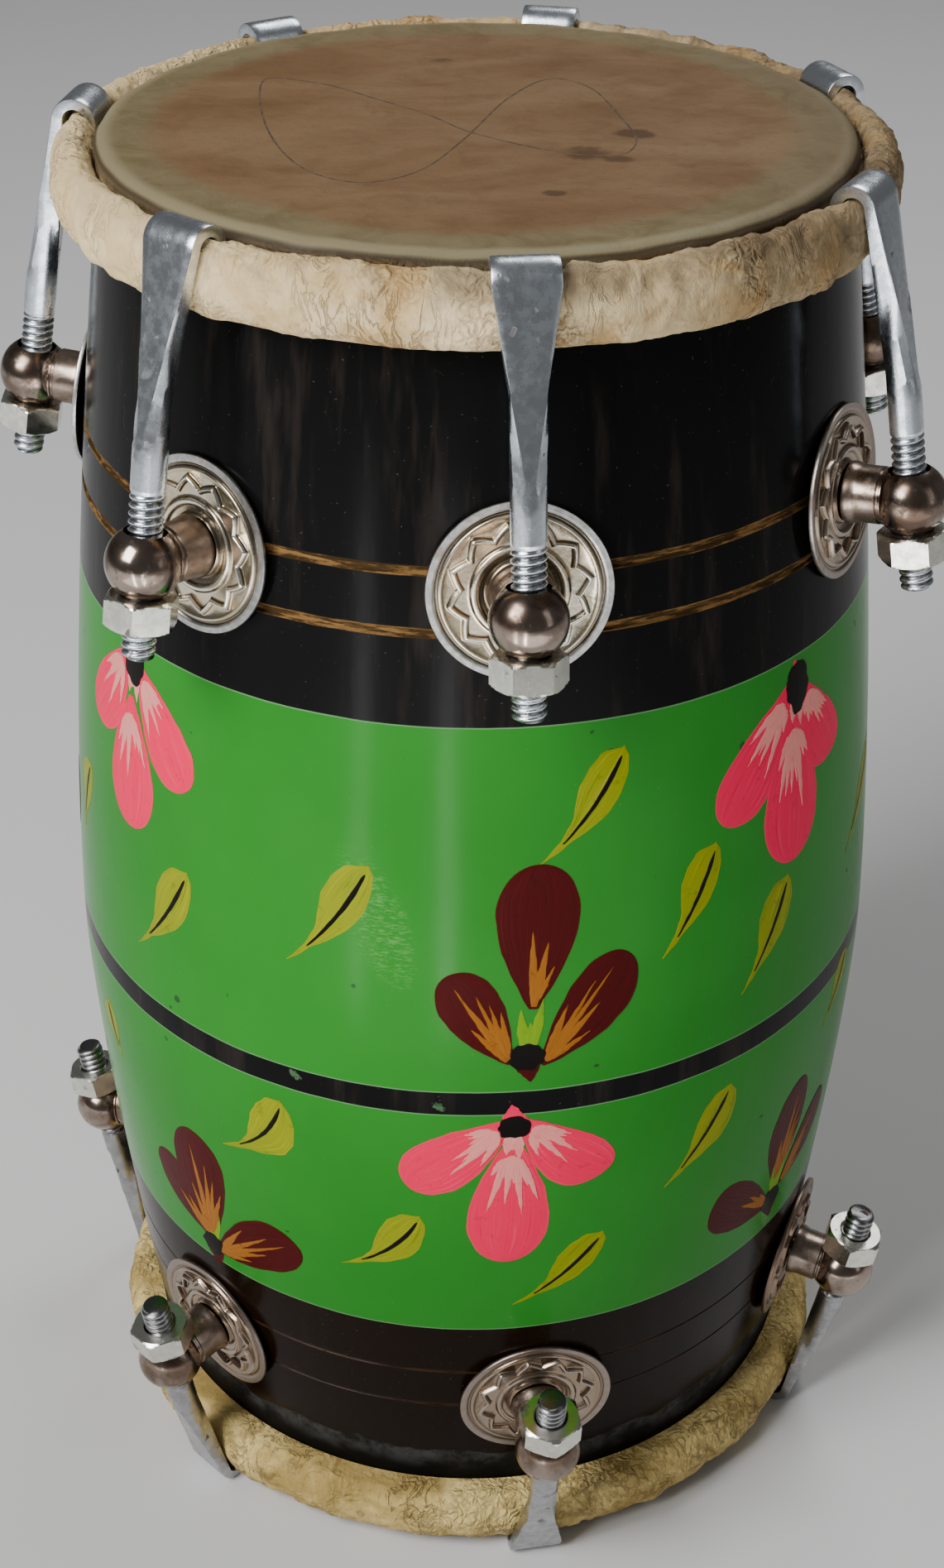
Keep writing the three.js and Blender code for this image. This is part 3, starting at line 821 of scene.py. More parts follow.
def rosettePaint():
    # painted highlights on the crests, painted shade on the slopes and in the groove, a brown middle; a
    # painted brown reflection low on the drum and on its right
    paint = Paint("rosetteNickel", Metallic=1)
    place = paint.place()
    x, y, z = paint.split(paint.spot())
    reach = (x * x + y * y) ** .5
    stain = paint.clouds(place, 90, 4, .65)
    fine = paint.clouds(place, 500, 2, .6)
    field = paint.blend(paint.ramp(stain, .38, .62), nickel["fieldDull"], nickel["field"])
    rim = paint.blend(paint.ramp(fine, .4, .65), nickel["rimDull"], nickel["rim"])
    onRim = paint.ramp(reach, rosette["rim"] - .2, rosette["rim"] + .2)
    tone = paint.blend(onRim, field, rim)
    # painted shade in the rim's groove
    groove = paint.band(reach, rosette["rimGroove"][1], .3, .5)
    tone = paint.blend(groove * .8, tone, nickel["groove"])
    # painted shade on the zigzag's slopes
    slope = paint.band(z, nickel["slopeShadeHeight"], .18, .25) * paint.ramp(reach, 20, 20.5, 1, .3)
    tone = paint.blend(slope * .8, tone, nickel["slope"])
    # painted highlight on the crests
    crestHighlight = paint.ramp(z, *nickel["crestHighlightHeight"])
    tone = paint.blend(crestHighlight * .8, tone, nickel["crest"])
    tone = paint.blend(paint.ramp(reach, 8.9, 11, .75, 0), tone, nickel["middle"])
    tarnish = paint.ramp(stain, .6, .72) * .6
    tone = paint.blend(tarnish, tone, nickel["tarnish"])
    # a painted brown reflection on the rosettes low on the drum and on its right
    drumX, drumY, drumZ = paint.split(place)
    low, right = paint.ramp(drumZ, .12, .2, .75, 0), paint.ramp(drumX, .06, .11, 0, .75)
    tone = paint.blend((low + right).kept(), tone, nickel["brownReflection"])
    rough = (.2 + onRim * .12 + tarnish * .2 + fine * .08).kept()
    return paint.set(Base_Color=tone, Roughness=rough, Normal=paint.bump(fine * .5 + stain * .5, .0003, .4))


print("rosettes")
plate = rosetteShape()
platePaint = rosettePaint()
for end, number in lugs:
    piece(f"rosette_{end}_{number}", plate, platePaint,
          replaced=[f"{end}_plate_{number}"],
          place=lugFrame(end, number) @ Matrix.Rotation(number * .7, 4, "Z"), sharp=50)


# Rawhide heads, each one skin with its edge rolled round a hoop

hide = {"around": 540, "sag": .5, "unevenness": .25, "discStep": 5,
        "rimRound": 4.2, "rimSwell": .35, "rimSteps": 8, "creaseOut": .25, "creaseDepth": 6.2,
        "rollFrom": 148, "rollSteps": 44, "lapShares": (1, .75, .5, .25),
        "liningShares": (.75, .5, .25, .05),
        "swell": 1.1, "lumps": .95, "wrinkles": .8, "folds": .5, "press": 3,
        "seeds": {"top": Vector((0, 0, 40)), "bottom": Vector((0, 0, 90))}}


def rimEdge(end):
    # the radius at which the hide turns down over the rim
    thick, gap = ends[end]["skin"], barrel["gap"]
    return radiusAt(end, thick + gap) + gap + thick


def rollOf(end):
    # the roll is an ellipse: its middle's radius and depth, half its width and half its height
    across, up = ends[end]["rollWidth"] / 2, ends[end]["rollHeight"] / 2
    depth = ends[end]["drop"] + up
    return radiusAt(end, depth) + across, depth, across, up


def faceHeight(end, x, y):
    # the struck face sags a little and isn't quite even
    radius = math.hypot(x, y)
    wave = noise.noise(Vector((x, y, 0)) / 35 + hide["seeds"][end])
    dish = -hide["sag"] * (1 - (radius / rimEdge(end)) ** 2)
    return dish + hide["unevenness"] * wave * smooth(radius, 0, 40)


def headOutline(end):
    # (kind, radius, height) out over the face, down the rim, round the roll and back up inside
    sizes = ends[end]
    gap, thick = barrel["gap"], sizes["skin"]
    edge = rimEdge(end)
    rollRadius, middle, across, up = rollOf(end)
    outline = []
    reach = hide["discStep"]
    while reach < edge - hide["rimRound"]:
        outline.append(("disc", reach, 0))
        reach += hide["discStep"]
    for k in range(hide["rimSteps"] + 1):
        angle = math.pi / 2 * k / hide["rimSteps"]
        bulge = hide["rimRound"] + hide["rimSwell"] * math.sin(2 * angle)
        radius = edge - hide["rimRound"] + bulge * math.sin(angle)
        outline.append(("rim", radius, bulge * (math.cos(angle) - 1)))
    outline.append(("crease", edge + hide["creaseOut"], -hide["creaseDepth"]))
    for k in range(hide["rollSteps"] + 1):
        angle = mix(math.radians(hide["rollFrom"]), -math.pi / 2, k / hide["rollSteps"])
        outline.append(("roll", rollRadius + across * math.cos(angle), -middle + up * math.sin(angle)))
    lap = sizes["drop"] + sizes["rollHeight"]
    for depth in [lap * share for share in hide["lapShares"]] + [thick + gap + barrel["chamfer"]]:
        outline.append(("lap", radiusAt(end, depth) + gap, -depth))
    outline.append(("lap", radiusAt(end, thick + gap) - barrel["chamfer"] + gap, -thick))
    for share in hide["liningShares"]:
        outline.append(("lap", edge * share, -thick))
    return outline


def hookPress(end):
    # gives the function that moves a point of the hide clear of the hooks that bear on it
    gap, edge = barrel["gap"], rimEdge(end)
    plan = hookPlan(end)
    lean, ballAt, half = plan["lean"], plan["ball"], hook["width"] / 2
    centre = Vector((ballAt.x + plan["archX"] * math.cos(lean) - plan["archZ"] * math.sin(lean),
                     plan["under"] - hook["bend"]))
    spokes = []
    for lugEnd, number in lugs:
        if lugEnd == end:
            at = (endFrames[end].inverted() @ rodFrame(end, number)).translation
            spokes.append(Vector((at.x, at.y, 0)).normalized())

    def pressed(kind, point):
        for spoke in spokes:
            out = point.dot(spoke)
            if out < edge * .8:
                continue
            side = Vector((-spoke.y, spoke.x, 0))
            off = point.dot(side)
            share = 1 - smooth(abs(off), half + .5, half + hide["press"])
            if share <= 0:
                continue
            reach, z = out, point.z
            blade = (z - ballAt.y + hook["rod"] * math.sin(lean)) / math.cos(lean)
            face = ballAt.x - hook["rod"] * math.cos(lean) - blade * math.sin(lean) - gap
            if kind == "rim":
                # clear of the lip's back
                reach = min(reach, centre.x - hook["bend"] - hook["thickness"] - gap)
            elif kind == "crease":
                # clear of the lip's end
                z = min(z, centre.y - hook["lip"] - 2 * gap)
            else:
                # inside the arch's bend, then between the lip and the blade
                room = hook["bend"] - gap
                if z > centre.y:
                    away = Vector((reach, z)) - centre
                    if away.length > room:
                        away = away.normalized() * room
                        reach, z = centre.x + away.x, centre.y + away.y
                else:
                    if z > centre.y - hook["lip"] - gap:
                        reach = max(reach, centre.x - room)
                    reach = min(reach, face)
            point = point + spoke * (reach - out) * share
            point.z = mix(point.z, z, share)
        return point

    return pressed


def lumpy(end, point, radius, z):
    # a point of the roll, moved out or in by swellings, lumps, wrinkles and folds
    rollRadius, middle, across, up = rollOf(end)
    seed = hide["seeds"][end]
    spoke = Vector((point.x, point.y, 0)).normalized()
    off = point - spoke * rollRadius + Vector((0, 0, middle))
    outward = Vector((off.x / across ** 2, off.y / across ** 2, off.z / up ** 2)).normalized()
    angle = math.degrees(math.atan2(z + middle, radius - rollRadius))
    free = smooth(angle, 152, 110) * smooth(angle, -92, -70)
    push = hide["swell"] * noise.noise(spoke * 7 + Vector((0, 0, z / 30)) + seed)
    push += hide["lumps"] * noise.noise(point / 9 + seed)
    push += hide["wrinkles"] * (.35 - abs(noise.noise(point / 4 - seed)) * 1.6)
    folds = spoke * 26
    push += hide["folds"] * noise.noise(Vector((folds.x, folds.y, z / 14)) + seed)
    return point + outward * push * free


def headShape(end):
    seed = hide["seeds"][end]
    pressed = hookPress(end)
    rings = [[(0, 0, -hide["sag"])]]
    for kind, radius, z in headOutline(end):
        ring = []
        for x, y, height in ringOf(radius, z, hide["around"]):
            point = Vector((x, y, height))
            if kind == "disc":
                point.z = faceHeight(end, x, y)
            elif kind == "rim":
                spoke = Vector((x, y, 0)).normalized()
                point += spoke * .45 * noise.noise(spoke * 6 + seed)
                point.z += .5 * noise.noise(spoke * 9 - seed)
            elif kind == "roll":
                point = lumpy(end, point, radius, z)
            if kind in ("rim", "crease", "roll"):
                point = pressed(kind, point)
            ring.append(tuple(point))
        rings.append(ring)
    rings.append([(0, 0, -ends[end]["skin"] - .05)])
    return skin(rings)


def hidePaint(end, tones):
    paint = Paint(f"rawhide_{end}", Specular_IOR_Level=.2)
    x, y, z = paint.split(paint.spot())
    place = paint.place()
    reach = (x * x + y * y) ** .5
    edge = radiusAt(end, ends[end]["skin"]) + ends[end]["skin"]
    fibre = paint.clouds(place, 75, 5, .65, .6)
    fine = paint.clouds(place, 420, 3, .7)

    # the struck face: brown and streaky, with a paler border
    broad = paint.clouds(paint.stretched(place, 1, 2.2, 1), 13, 4, .6, .5)
    shade = paint.blend(paint.ramp(broad, .3, .7), tones["face"], tones["facePale"])
    shade = paint.blend(paint.ramp(fibre, .42, .75) * .35, shade, tones["faceDark"])
    shade = paint.blend(paint.ramp(fine, .55, .75) * .3, shade, tones["faceDark"])
    wavy = reach + (paint.clouds(place, 12, 3, .55) - .5) * 16
    border = paint.blend(paint.ramp(fibre, .35, .7), tones["borderPale"], tones["border"])
    shade = paint.blend(paint.ramp(wavy, edge - 21, edge - 11), shade, border)
    # the paler rim is a painted highlight
    shade = paint.blend(paint.ramp(reach, edge - 6, edge - 2.5), shade, tones["rim"])
    if end == "top":
        # small dark stains
        for stainX, stainY, size in pencil["stains"]:
            near = ((x - stainX) / size) ** 2 + ((y - stainY) * 1.4 / size) ** 2 + (fibre - .5) * 3.5
            shade = paint.blend(paint.ramp(near, 0, 1, .75, 0), shade, pencil["stain"])

    # the rolled edge: lumpy, with pale and brown patches and small wrinkles here and there
    patches = paint.clouds(place, 30, 4, .6, .5)
    tone = paint.blend(paint.ramp(patches, .38, .6), tones["roll"], tones["rollPale"])
    stains = paint.ramp(paint.clouds(place, 48, 5, .7, .6), .54, .68)
    tone = paint.blend(stains * .55, tone, tones["brown"])
    swirl = paint.node("ShaderNodeTexNoise", {}, {"Vector": place, "Scale": 110.0, "Detail": 3.0}, 1)
    shift = paint.stretched(swirl, .014, .014, .014)
    warped = paint.node("ShaderNodeVectorMath", {"operation": "ADD"}, {0: place, 1: shift})
    cells = paint.cracks(warped, 250)
    wrinkled = paint.ramp(paint.clouds(place, 24, 3, .6), .44, .58)
    crack = paint.ramp(cells, .01, .12, 1, 0) * wrinkled
    crack = crack * paint.ramp(paint.clouds(place, 120, 2), .36, .56)
    folds = paint.clouds(paint.stretched(place, 1, 1, .35), 105, 4, .65, 1.2)
    fold = paint.ramp(abs(folds - .5), 0, .035, 1, 0)
    fold = fold * paint.ramp(paint.clouds(place, 34, 2), .45, .6)
    tone = paint.blend(crack * .42, tone, tones["crack"])
    tone = paint.blend(fold * .42, tone, tones["crack"])
    tone = paint.blend(paint.ramp(fine, .52, .72) * .35, tone, tones["brown"])
    grime = paint.ramp(z, -12, -4) * paint.ramp(patches + fibre * .5, .68, .9)
    tone = paint.blend(grime * .7, tone, tones["grime"])
    if end == "top":
        # painted light and shade: the left side of the roll is paler as if lit, and the right side is
        # darker with painted shade
        tone = paint.blend(paint.ramp(x, -25, -95, 0, .6), tone, tones["rollLitLeft"])
        rightShade = paint.ramp(x, 5, 100) * paint.ramp(patches + fibre * .4, .45, .8, .45, 1)
        tone = paint.blend(rightShade * .75, tone, tones["grime"])
        # painted shade on the right of the face's border
        rightShade = paint.ramp(x, 40, 105) * paint.ramp(wavy, edge - 24, edge - 8)
        shade = paint.blend(rightShade * .5, shade, tones["grime"])
    onRoll = paint.ramp(reach, edge - .2, edge + .8)
    colour = paint.blend(onRoll, shade, tone)
    # painted shade in the crease between the rim and the roll
    crease = paint.band(reach, edge + .4, .5, 1.1) * paint.ramp(z, -9, -3)
    colour = paint.blend(crease * .85, colour, tones["crease"])
    rough = (.55 + paint.ramp(fibre, .4, .7) * .15 + onRoll * .2).kept()
    lumps = paint.ramp(cells, 0, .35) * wrinkled
    height = fibre * .3 + fine * .25 + onRoll * (lumps * .9 + patches * .6 + fold * -.7 + folds * 1.2)
    return paint.set(Base_Color=colour, Roughness=rough, Normal=paint.bump(height, .0011, .75))


print("heads")
# a loop of pencil crosses the struck face; the stains give their place and size
pencil = {"width": .5, "thick": .05, "lift": .05, "stepsBetween": 10,
          "graphite": (.05, .034, .02), "worn": (.11, .07, .035), "stain": (.06, .028, .01),
          "stains": ((43, -10, 7), (29, -27, 9), (38, -32, 5), (-10, 62, 5), (20, -60, 4)),
          "route": ((-57, 43), (-63, 40), (-62, 14), (-56, -18), (-46, -42), (-31, -52), (-16, -42),
                    (-4, -15), (9, 23), (22, 43), (34, 34), (41, 6), (44, -16), (38, -29), (22, -26),
                    (-1, -9), (-14, 8), (-30, 24), (-43, 36), (-57, 43))}
# rim is a painted highlight, crease painted shade and rollLitLeft painted light; grime is real grime and
# also painted shade on the top roll's right
rawhide = {
    "top": {"face": (.158, .084, .034), "facePale": (.22, .135, .066), "faceDark": (.10, .052, .02),
            "border": (.15, .115, .052), "borderPale": (.205, .162, .082), "rim": (.26, .22, .125),
            "roll": (.56, .37, .16), "rollPale": (.88, .70, .41), "rollLitLeft": (.95, .74, .40),
            "brown": (.36, .18, .06), "crack": (.16, .08, .03), "grime": (.13, .085, .045),
            "crease": (.035, .02, .01)},
    "bottom": {"face": (.36, .26, .13), "facePale": (.46, .35, .19), "faceDark": (.22, .15, .07),
               "border": (.40, .31, .16), "borderPale": (.48, .39, .22), "rim": (.48, .40, .25),
               "roll": (.46, .32, .10), "rollPale": (.84, .64, .25), "brown": (.16, .09, .03),
               "crack": (.10, .06, .03), "grime": (.07, .05, .03), "crease": (.03, .02, .01)},
}
for end in ends:
    piece(f"skin_{end}", headShape(end), hidePaint(end, rawhide[end]),
          replaced=[f"{end}_head"], place=endFrames[end], sharp=80)


def pencilShape():
    # a flat ribbon along a smooth curve through the route's points
    route = [Vector(p) for p in pencil["route"]]
    line = []
    for k in range(len(route) - 1):
        before, after = route[max(0, k - 1)], route[min(len(route) - 1, k + 2)]
        start, stop = route[k], route[k + 1]
        second = 2 * before - 5 * start + 4 * stop - after
        third = 3 * start - before - 3 * stop + after
        for step in range(pencil["stepsBetween"]):
            t = step / pencil["stepsBetween"]
            line.append(.5 * (2 * start + (stop - before) * t + second * t ** 2 + third * t ** 3))
    rings = []
    for k, at in enumerate(line):
        ahead = (line[min(k + 1, len(line) - 1)] - line[max(0, k - 1)]).normalized()
        half = .5 + .3 * noise.noise(Vector((k * .35, 0, 0)))
        side = Vector((-ahead.y, ahead.x)) * pencil["width"] * half
        high = faceHeight("top", at.x, at.y) + pencil["lift"]
        low = high - pencil["thick"] - pencil["lift"]
        corners = ((at - side, low), (at + side, low), (at + side, high), (at - side, high))
        rings.append([(p.x, p.y, z) for p, z in corners])
    return skin(rings)


def graphitePaint():
    paint = Paint("graphite", Roughness=.7)
    rubbed = paint.ramp(paint.clouds(paint.place(), 260, 3), .4, .6)
    return paint.set(Base_Color=paint.blend(rubbed, pencil["graphite"], pencil["worn"]))


piece("pencil_loop", pencilShape(), graphitePaint(), place=endFrames["top"])


# Painted flowers and leaves. Each stroke is a thin film of paint that follows the barrel.
# A flower's centre is (degrees from the front, height in mm); its petals are in mm from there.

# sunk is how far a film's underside lies below its lift; steps are along a stroke and across it
film = {"thick": .1, "sunk": .04, "steps": (30, 11), "fineSteps": (16, 5), "thinnest": .015,
        "daubLift": .16, "daubSides": 40, "daubShares": (.02, .5, .85, 1), "underShares": (1, .5, .02),
        "ragged": .22}


def onBarrel(azimuth, height, lift):
    reach = barrelRadius(height) + lift
    return (reach * math.sin(azimuth), -reach * math.cos(azimuth), height)


def leafWidth(edge, share):
    # the width of one side of a leaf, from a few pairs of place and width
    for (start, low), (stop, high) in zip(edge, edge[1:]):
        if share <= stop:
            return mix(low, high, smooth(share, start, stop) * .5 + (share - start) / (stop - start) * .5)
    return edge[-1][1]


def strokeWidth(share, widest, foot, sharpTip):
    # 1 where the stroke is widest, foot at its start, 0 at its tip
    if share < widest:
        return foot + (1 - foot) * math.sin(math.pi / 2 * share / widest)
    beyond = (share - widest) / (1 - widest)
    return (1 - beyond) ** .8 if sharpTip else math.sqrt(max(0, 1 - beyond ** 2))


def stroke(centre, base, tip, left, right, widest=.65, bend=0, lift=0, foot=.1, rough=.25,
           sharpTip=False, edges=None):
    # widest is where along the stroke it is widest; edges, if given, are the outlines of its two sides
    base, tip = Vector(base), Vector(tip)
    axis = tip - base
    side = Vector((-axis.y, axis.x)).normalized()
    middle = math.radians(centre[0])
    belly = barrelRadius(centre[1])
    rings, spots = [], []
    steps, count = film["fineSteps"] if sharpTip else film["steps"]
    for k in range(steps + 1):
        share = k / steps if sharpTip else .5 - .5 * math.cos(math.pi * k / steps)
        if edges:
            widths = [leafWidth(edge, share) for edge in edges]
        else:
            widths = [strokeWidth(share, widest, foot, sharpTip)] * 2
        widths = [max(width, film["thinnest"]) for width in widths]
        spine = base + axis * share + side * bend * 4 * share * (1 - share)
        ring, marks = [], []
        for under in (False, True):
            order = reversed(range(count)) if under else range(count)
            for i in order:
                cross = mix(-1, 1, i / (count - 1))
                half = left * widths[0] if cross > 0 else right * widths[1]
                wobble = rough * noise.noise(Vector((share * 9, cross * 2, base.x + tip.y)))
                at = spine + side * (cross * half + (wobble if abs(cross) == 1 else 0))
                crown = film["thick"] * (1 - .5 * cross ** 2)
                high = lift + (-film["sunk"] if under else crown)
                ring.append(onBarrel(middle + at.x / belly, centre[1] + at.y, high))
                marks.append((cross, share, base.x + tip.x))
        rings.append(ring)
        spots.extend(marks)
    return skin(rings), spots


def daub(centre, halfWidth, halfHeight):
    # the dark middle of a flower, with ragged edges
    middle = math.radians(centre[0])
    belly = barrelRadius(centre[1])
    levels = [(share, film["thick"] * (1.5 - share ** 2)) for share in film["daubShares"]]
    levels += [(share, -film["sunk"]) for share in film["underShares"]]
    rings = []
    for share, crown in levels:
        ring = []
        for i in range(film["daubSides"]):
            angle = fullTurn * i / film["daubSides"]
            chance = noise.noise(Vector((math.cos(angle) * 2.2, math.sin(angle) * 2.2, centre[0])))
            ragged = 1 + film["ragged"] * chance
            x = halfWidth * share * ragged * math.cos(angle)
            y = halfHeight * share * ragged * math.sin(angle)
            ring.append(onBarrel(middle + x / belly, centre[1] + y, film["daubLift"] + crown))
        rings.append(ring)
    shape = skin(rings)
    return shape, [(0, .5, centre[0])] * len(shape[0])


# petals: base, tip, half width on the left, half width on the right, widest share, bend
flowers = [
    {"centre": (6.3, 213.3), "colour": "maroon", "daub": (5.6, 4.6), "petals": [
        ((1.9, 16.7), (3.8, 64.4), 12.4, 12.4, .68, 0), ((-4.5, -2), (-23.1, 28.5), 8.2, 10.5, .68, 1),
        ((4.5, -3), (30, 31.9), 9.6, 10.2, .66, -1)]},
    {"centre": (5, 187.7), "colour": "pink", "daub": (5, 4.2), "petals": [
        ((-1, 2.3), (-32.1, -25), 8.8, 12, .70, 1), ((-.4, -4), (-2.2, -56.5), 13, 12.6, .68, 0),
        ((2, 3), (30, -21), 8, 12.6, .70, -1)]},
    {"centre": (-53.4, 313.7), "colour": "pink", "daub": (5.2, 8), "petals": [
        ((-4, 2), (-25, -29), 11, 8, .66, 0), ((-1.6, -12), (-2.4, -56), 12, 11, .66, 0),
        ((2, 0), (24, -32.5), 9.6, 9.8, .72, 0)]},
    {"centre": (48.1, 310.2), "colour": "pink", "daub": (5.2, 8), "petals": [
        ((-3, 2), (-30, -33.5), 11, 10, .70, 0), ((-1.6, -6), (-1.3, -57), 12, 13, .68, 0),
        ((3, 0), (21, -29), 7, 12, .74, 0)]},
    {"centre": (-42.6, 106.5), "colour": "maroon", "daub": (4.8, 4.6), "petals": [
        ((-.5, 3), (-23, 28), 8, 9.5, .62, 0), ((.6, 4), (-4, 49), 9, 14, .66, 2),
        ((2, -2), (37, 17.5), 13, 8, .68, 0)]},
    {"centre": (51.2, 113.2), "colour": "maroon", "daub": (5, 5), "petals": [
        ((-1.5, -1), (-30.5, 20), 12.5, 8, .72, 0), ((-.4, 8), (8, 48.5), 11.5, 8, .56, 0),
        ((4, 4), (30, 28), 7, 10, .66, 0)]},
]
# leaves: tail, length across and up, half width on each side, bend
leaves = [
    ((8, 277.7), (24, 33.5), 7.5, 5.5, -2.5), ((-25.3, 239.3), (25, 36.5), 8.2, 5.5, -2.5),
    ((-52.6, 218.3), (24.4, 36.7), 8.2, 6.2, -2.5), ((24.7, 239.4), (18, 33.5), 8, 5, -2),
    ((37.8, 215.6), (19.5, 34), 8, 6, -2), ((-37.3, 158.4), (23.5, 28.5), 7.5, 9.5, -5),
    ((-19.2, 124.3), (25.5, 26.3), 8, 6.5, -4), ((27, 150.3), (22, 33), 6, 8, -2),
    ((5.4, 111), (27.6, 28), 7, 5.5, -2.5), ((-72.9, 234.2), (9, 28), 7.5, 5, 1),
    ((-62, 158.7), (-8, 19), 6, 5, 1), ((63.3, 235.9), (32, 26), 5, 6, 0),
    ((59.1, 175), (17, 21.5), 5.5, 4.5, -1),
]
# the back of the drum, out of the photo's sight, goes on in the same rhythm: (which, degrees, height)
backFlowers = ((0, 96, 213.3), (1, 95, 187.7), (2, 140, 312), (4, 134.4, 106.5), (0, 183, 213.3),
               (1, 182, 187.7), (3, 229, 310), (5, 222, 113), (0, 266, 213.3), (1, 265, 187.7))
backLeaves = ((0, 98, 277.7), (3, 114.7, 239.4), (7, 117, 150.3), (8, 95.4, 111), (2, 135, 218.3),
              (5, 140, 158.4), (1, 151.7, 239.3), (6, 157.8, 124.3), (0, 185, 277.7), (3, 201.4, 239.4),
              (7, 204, 150.3), (8, 182.4, 111), (4, 214.8, 215.6), (12, 234, 178), (1, 237, 239.3),
              (6, 241.8, 124.3), (0, 263, 277.7), (8, 262, 111))
flowers += [{**flowers[which], "centre": (turn, height)} for which, turn, height in backFlowers]
leaves += [((turn, height), *leaves[which][1:]) for which, turn, height in backLeaves]

films = {"maroon": [], "pink": [], "ochre": [], "pale": [], "lime": [], "leaf": [], "black": []}


def onPetal(petal, share, cross):
    base, tip, left, right, widest, bend = petal
    base, tip = Vector(base), Vector(tip)
    axis = tip - base
    side = Vector((-axis.y, axis.x)).normalized()
    width = (left if cross > 0 else right) * math.sin(math.pi / 2 * min(1, share / widest))
    return base + axis * share + side * (cross * width + bend * 4 * share * (1 - share))


# brush strokes on a petal: across at the start, start, stop, across at the tip, half width in mm
ochreStrokes = [
    ((.05, .02, .55, .12, 1.3), (-.2, .02, .47, -.3, 1.4), (-.35, .05, .30, -.7, .9)),
    ((0, .04, .86, .02, 1.1), (.2, .04, .46, .35, 1.3), (-.2, .04, .72, -.42, 1.1),
     (-.4, .05, .60, -.62, 1), (-.5, .05, .48, -.85, 1.2)),
    ((.1, .04, .86, .15, 1.1), (.3, .04, .72, .42, 1), (.5, .05, .48, .78, 1.2), (-.1, .04, .60, -.15, 1.2),
     (-.4, .05, .38, -.6, 1)),
]
paleStrokes = {"count": 8, "spread": .7, "start": .13, "stop": .5, "vary": .42, "half": 1.15}
leafEdges = (((0, .02), (.2, .12), (.35, .3), (.5, .72), (.62, .98), (.75, 1), (.88, .78), (1, 0)),
             ((0, .02), (.2, .2), (.4, .65), (.55, .97), (.7, 1), (.85, .8), (.95, .5), (1, 0)))
# what goes with each colour of flower: the colours of its marks and its tuft, the spike's tip, and
# the tuft's strokes as (base, tip)
trims = {
    "maroon": {"marks": "ochre", "tuft": "lime", "spike": (1.5, -9),
               "strokes": [((.4 + shift * .4, 3), (1.5 + shift, 3 + reach))
                           for shift, reach in ((-3.2, 14), (-.2, 9), (3.4, 17))]},
    "pink": {"marks": "pale", "tuft": "pale", "spike": (-1, 8.5),
             "strokes": [((shift * .6, -3), (shift, reach))
                         for shift, reach in ((-2.6, -11), (-.5, -9), (1.5, -13))]},
}
# how each kind of stroke is shaped; the two colours are for the tufts
brushes = {
    "petal": {"rough": .45},
    "mark": {"widest": .42, "foot": .5, "rough": .35, "sharpTip": True},
    "maroon": {"left": 1.6, "right": 1.6, "widest": .5, "lift": .06, "foot": .6, "rough": .3,
               "sharpTip": True},
    "pink": {"left": 1.7, "right": 1.7, "widest": .4, "lift": .08, "foot": .5, "rough": .4,
             "sharpTip": True},
    "spike": {"left": 4.2, "right": 4.2, "widest": .3, "lift": .03, "foot": .9, "rough": .5,
              "sharpTip": True},
    "vein": {"left": .75, "right": .75, "widest": .75, "lift": .08, "foot": .3, "rough": .2},
}


def petalMarks(flower, index):
    # the strokes on a petal: listed one by one on a maroon one, fanned out on a pink one
    if flower["colour"] == "maroon":
        return ochreStrokes[index]
    marks = []
    for number in range(paleStrokes["count"]):
        near = paleStrokes["spread"] * mix(-1, 1, number / (paleStrokes["count"] - 1))
        chance = noise.noise(Vector((flower["centre"][0] * .37, index * 3.3, number * 1.7)))
        start = paleStrokes["start"] + .05 * abs(near)
        stop = paleStrokes["stop"] + paleStrokes["vary"] * chance - .1 * abs(near)
        marks.append((near * .8, start, stop, near * 1.1, paleStrokes["half"]))
    return marks


def paintFlower(flower):
    # each stroke lies a little higher than the one before it
    centre, colour = flower["centre"], flower["colour"]
    petals, trim = films[colour], trims[colour]
    for index, petal in enumerate(flower["petals"]):
        petals.append(stroke(centre, *petal, lift=.03 * index, **brushes["petal"]))
        for number, (near, start, stop, far, half) in enumerate(petalMarks(flower, index)):
            begin, finish = onPetal(petal, start, near), onPetal(petal, stop, far)
            mark = stroke(centre, begin, finish, half, half, lift=.09 + .02 * number, **brushes["mark"])
            films[trim["marks"]].append(mark)
    for base, tip in trim["strokes"]:
        films[trim["tuft"]].append(stroke(centre, base, tip, **brushes[colour]))
    petals.append(stroke(centre, (0, 0), trim["spike"], **brushes["spike"]))
    films["black"].append(daub(centre, *flower["daub"]))


def paintLeaf(tail, tip, left, right, bend):
    # a yellow leaf with a dark vein
    films["leaf"].append(stroke(tail, (0, 0), tip, left, right, bend=bend, rough=.35, edges=leafEdges))
    petal = ((0, 0), tip, left, right, .62, bend)
    begin, finish = onPetal(petal, .2, 0), onPetal(petal, .93, -.05)
    films["black"].append(stroke(tail, begin, finish, bend=bend * .5, **brushes["vein"]))


for flower in flowers:
    paintFlower(flower)
for leaf in leaves:
    paintLeaf(*leaf)


def filmPaint(name, colour, dark, pale, amount):
    # brush marks run along the stroke; its spot is (across, along, a number of its own)
    paint = Paint(name, Specular_IOR_Level=.05)
    spot = paint.spot()
    across, along, own = paint.split(spot)
    place = paint.place()
    brush = paint.clouds(paint.vector(across * 7, along * 1.1, own), 1.6, 4, .65)
    tone = paint.blend(paint.ramp(brush, .52, .72) * amount, colour, pale)
    tone = paint.blend(paint.ramp(brush, .45, .28) * amount, tone, dark)
    tone = paint.blend(paint.ramp(paint.clouds(place, 300, 3, .6), .6, .7) * .35, tone, dark)
    edge = paint.ramp(abs(across), .93, 1) * .3
    tone = paint.blend(edge, tone, pale)
    rough = (.22 + brush * .16).kept()
    return paint.set(Base_Color=tone, Roughness=rough, Normal=paint.bump(brush, .0003, .5))


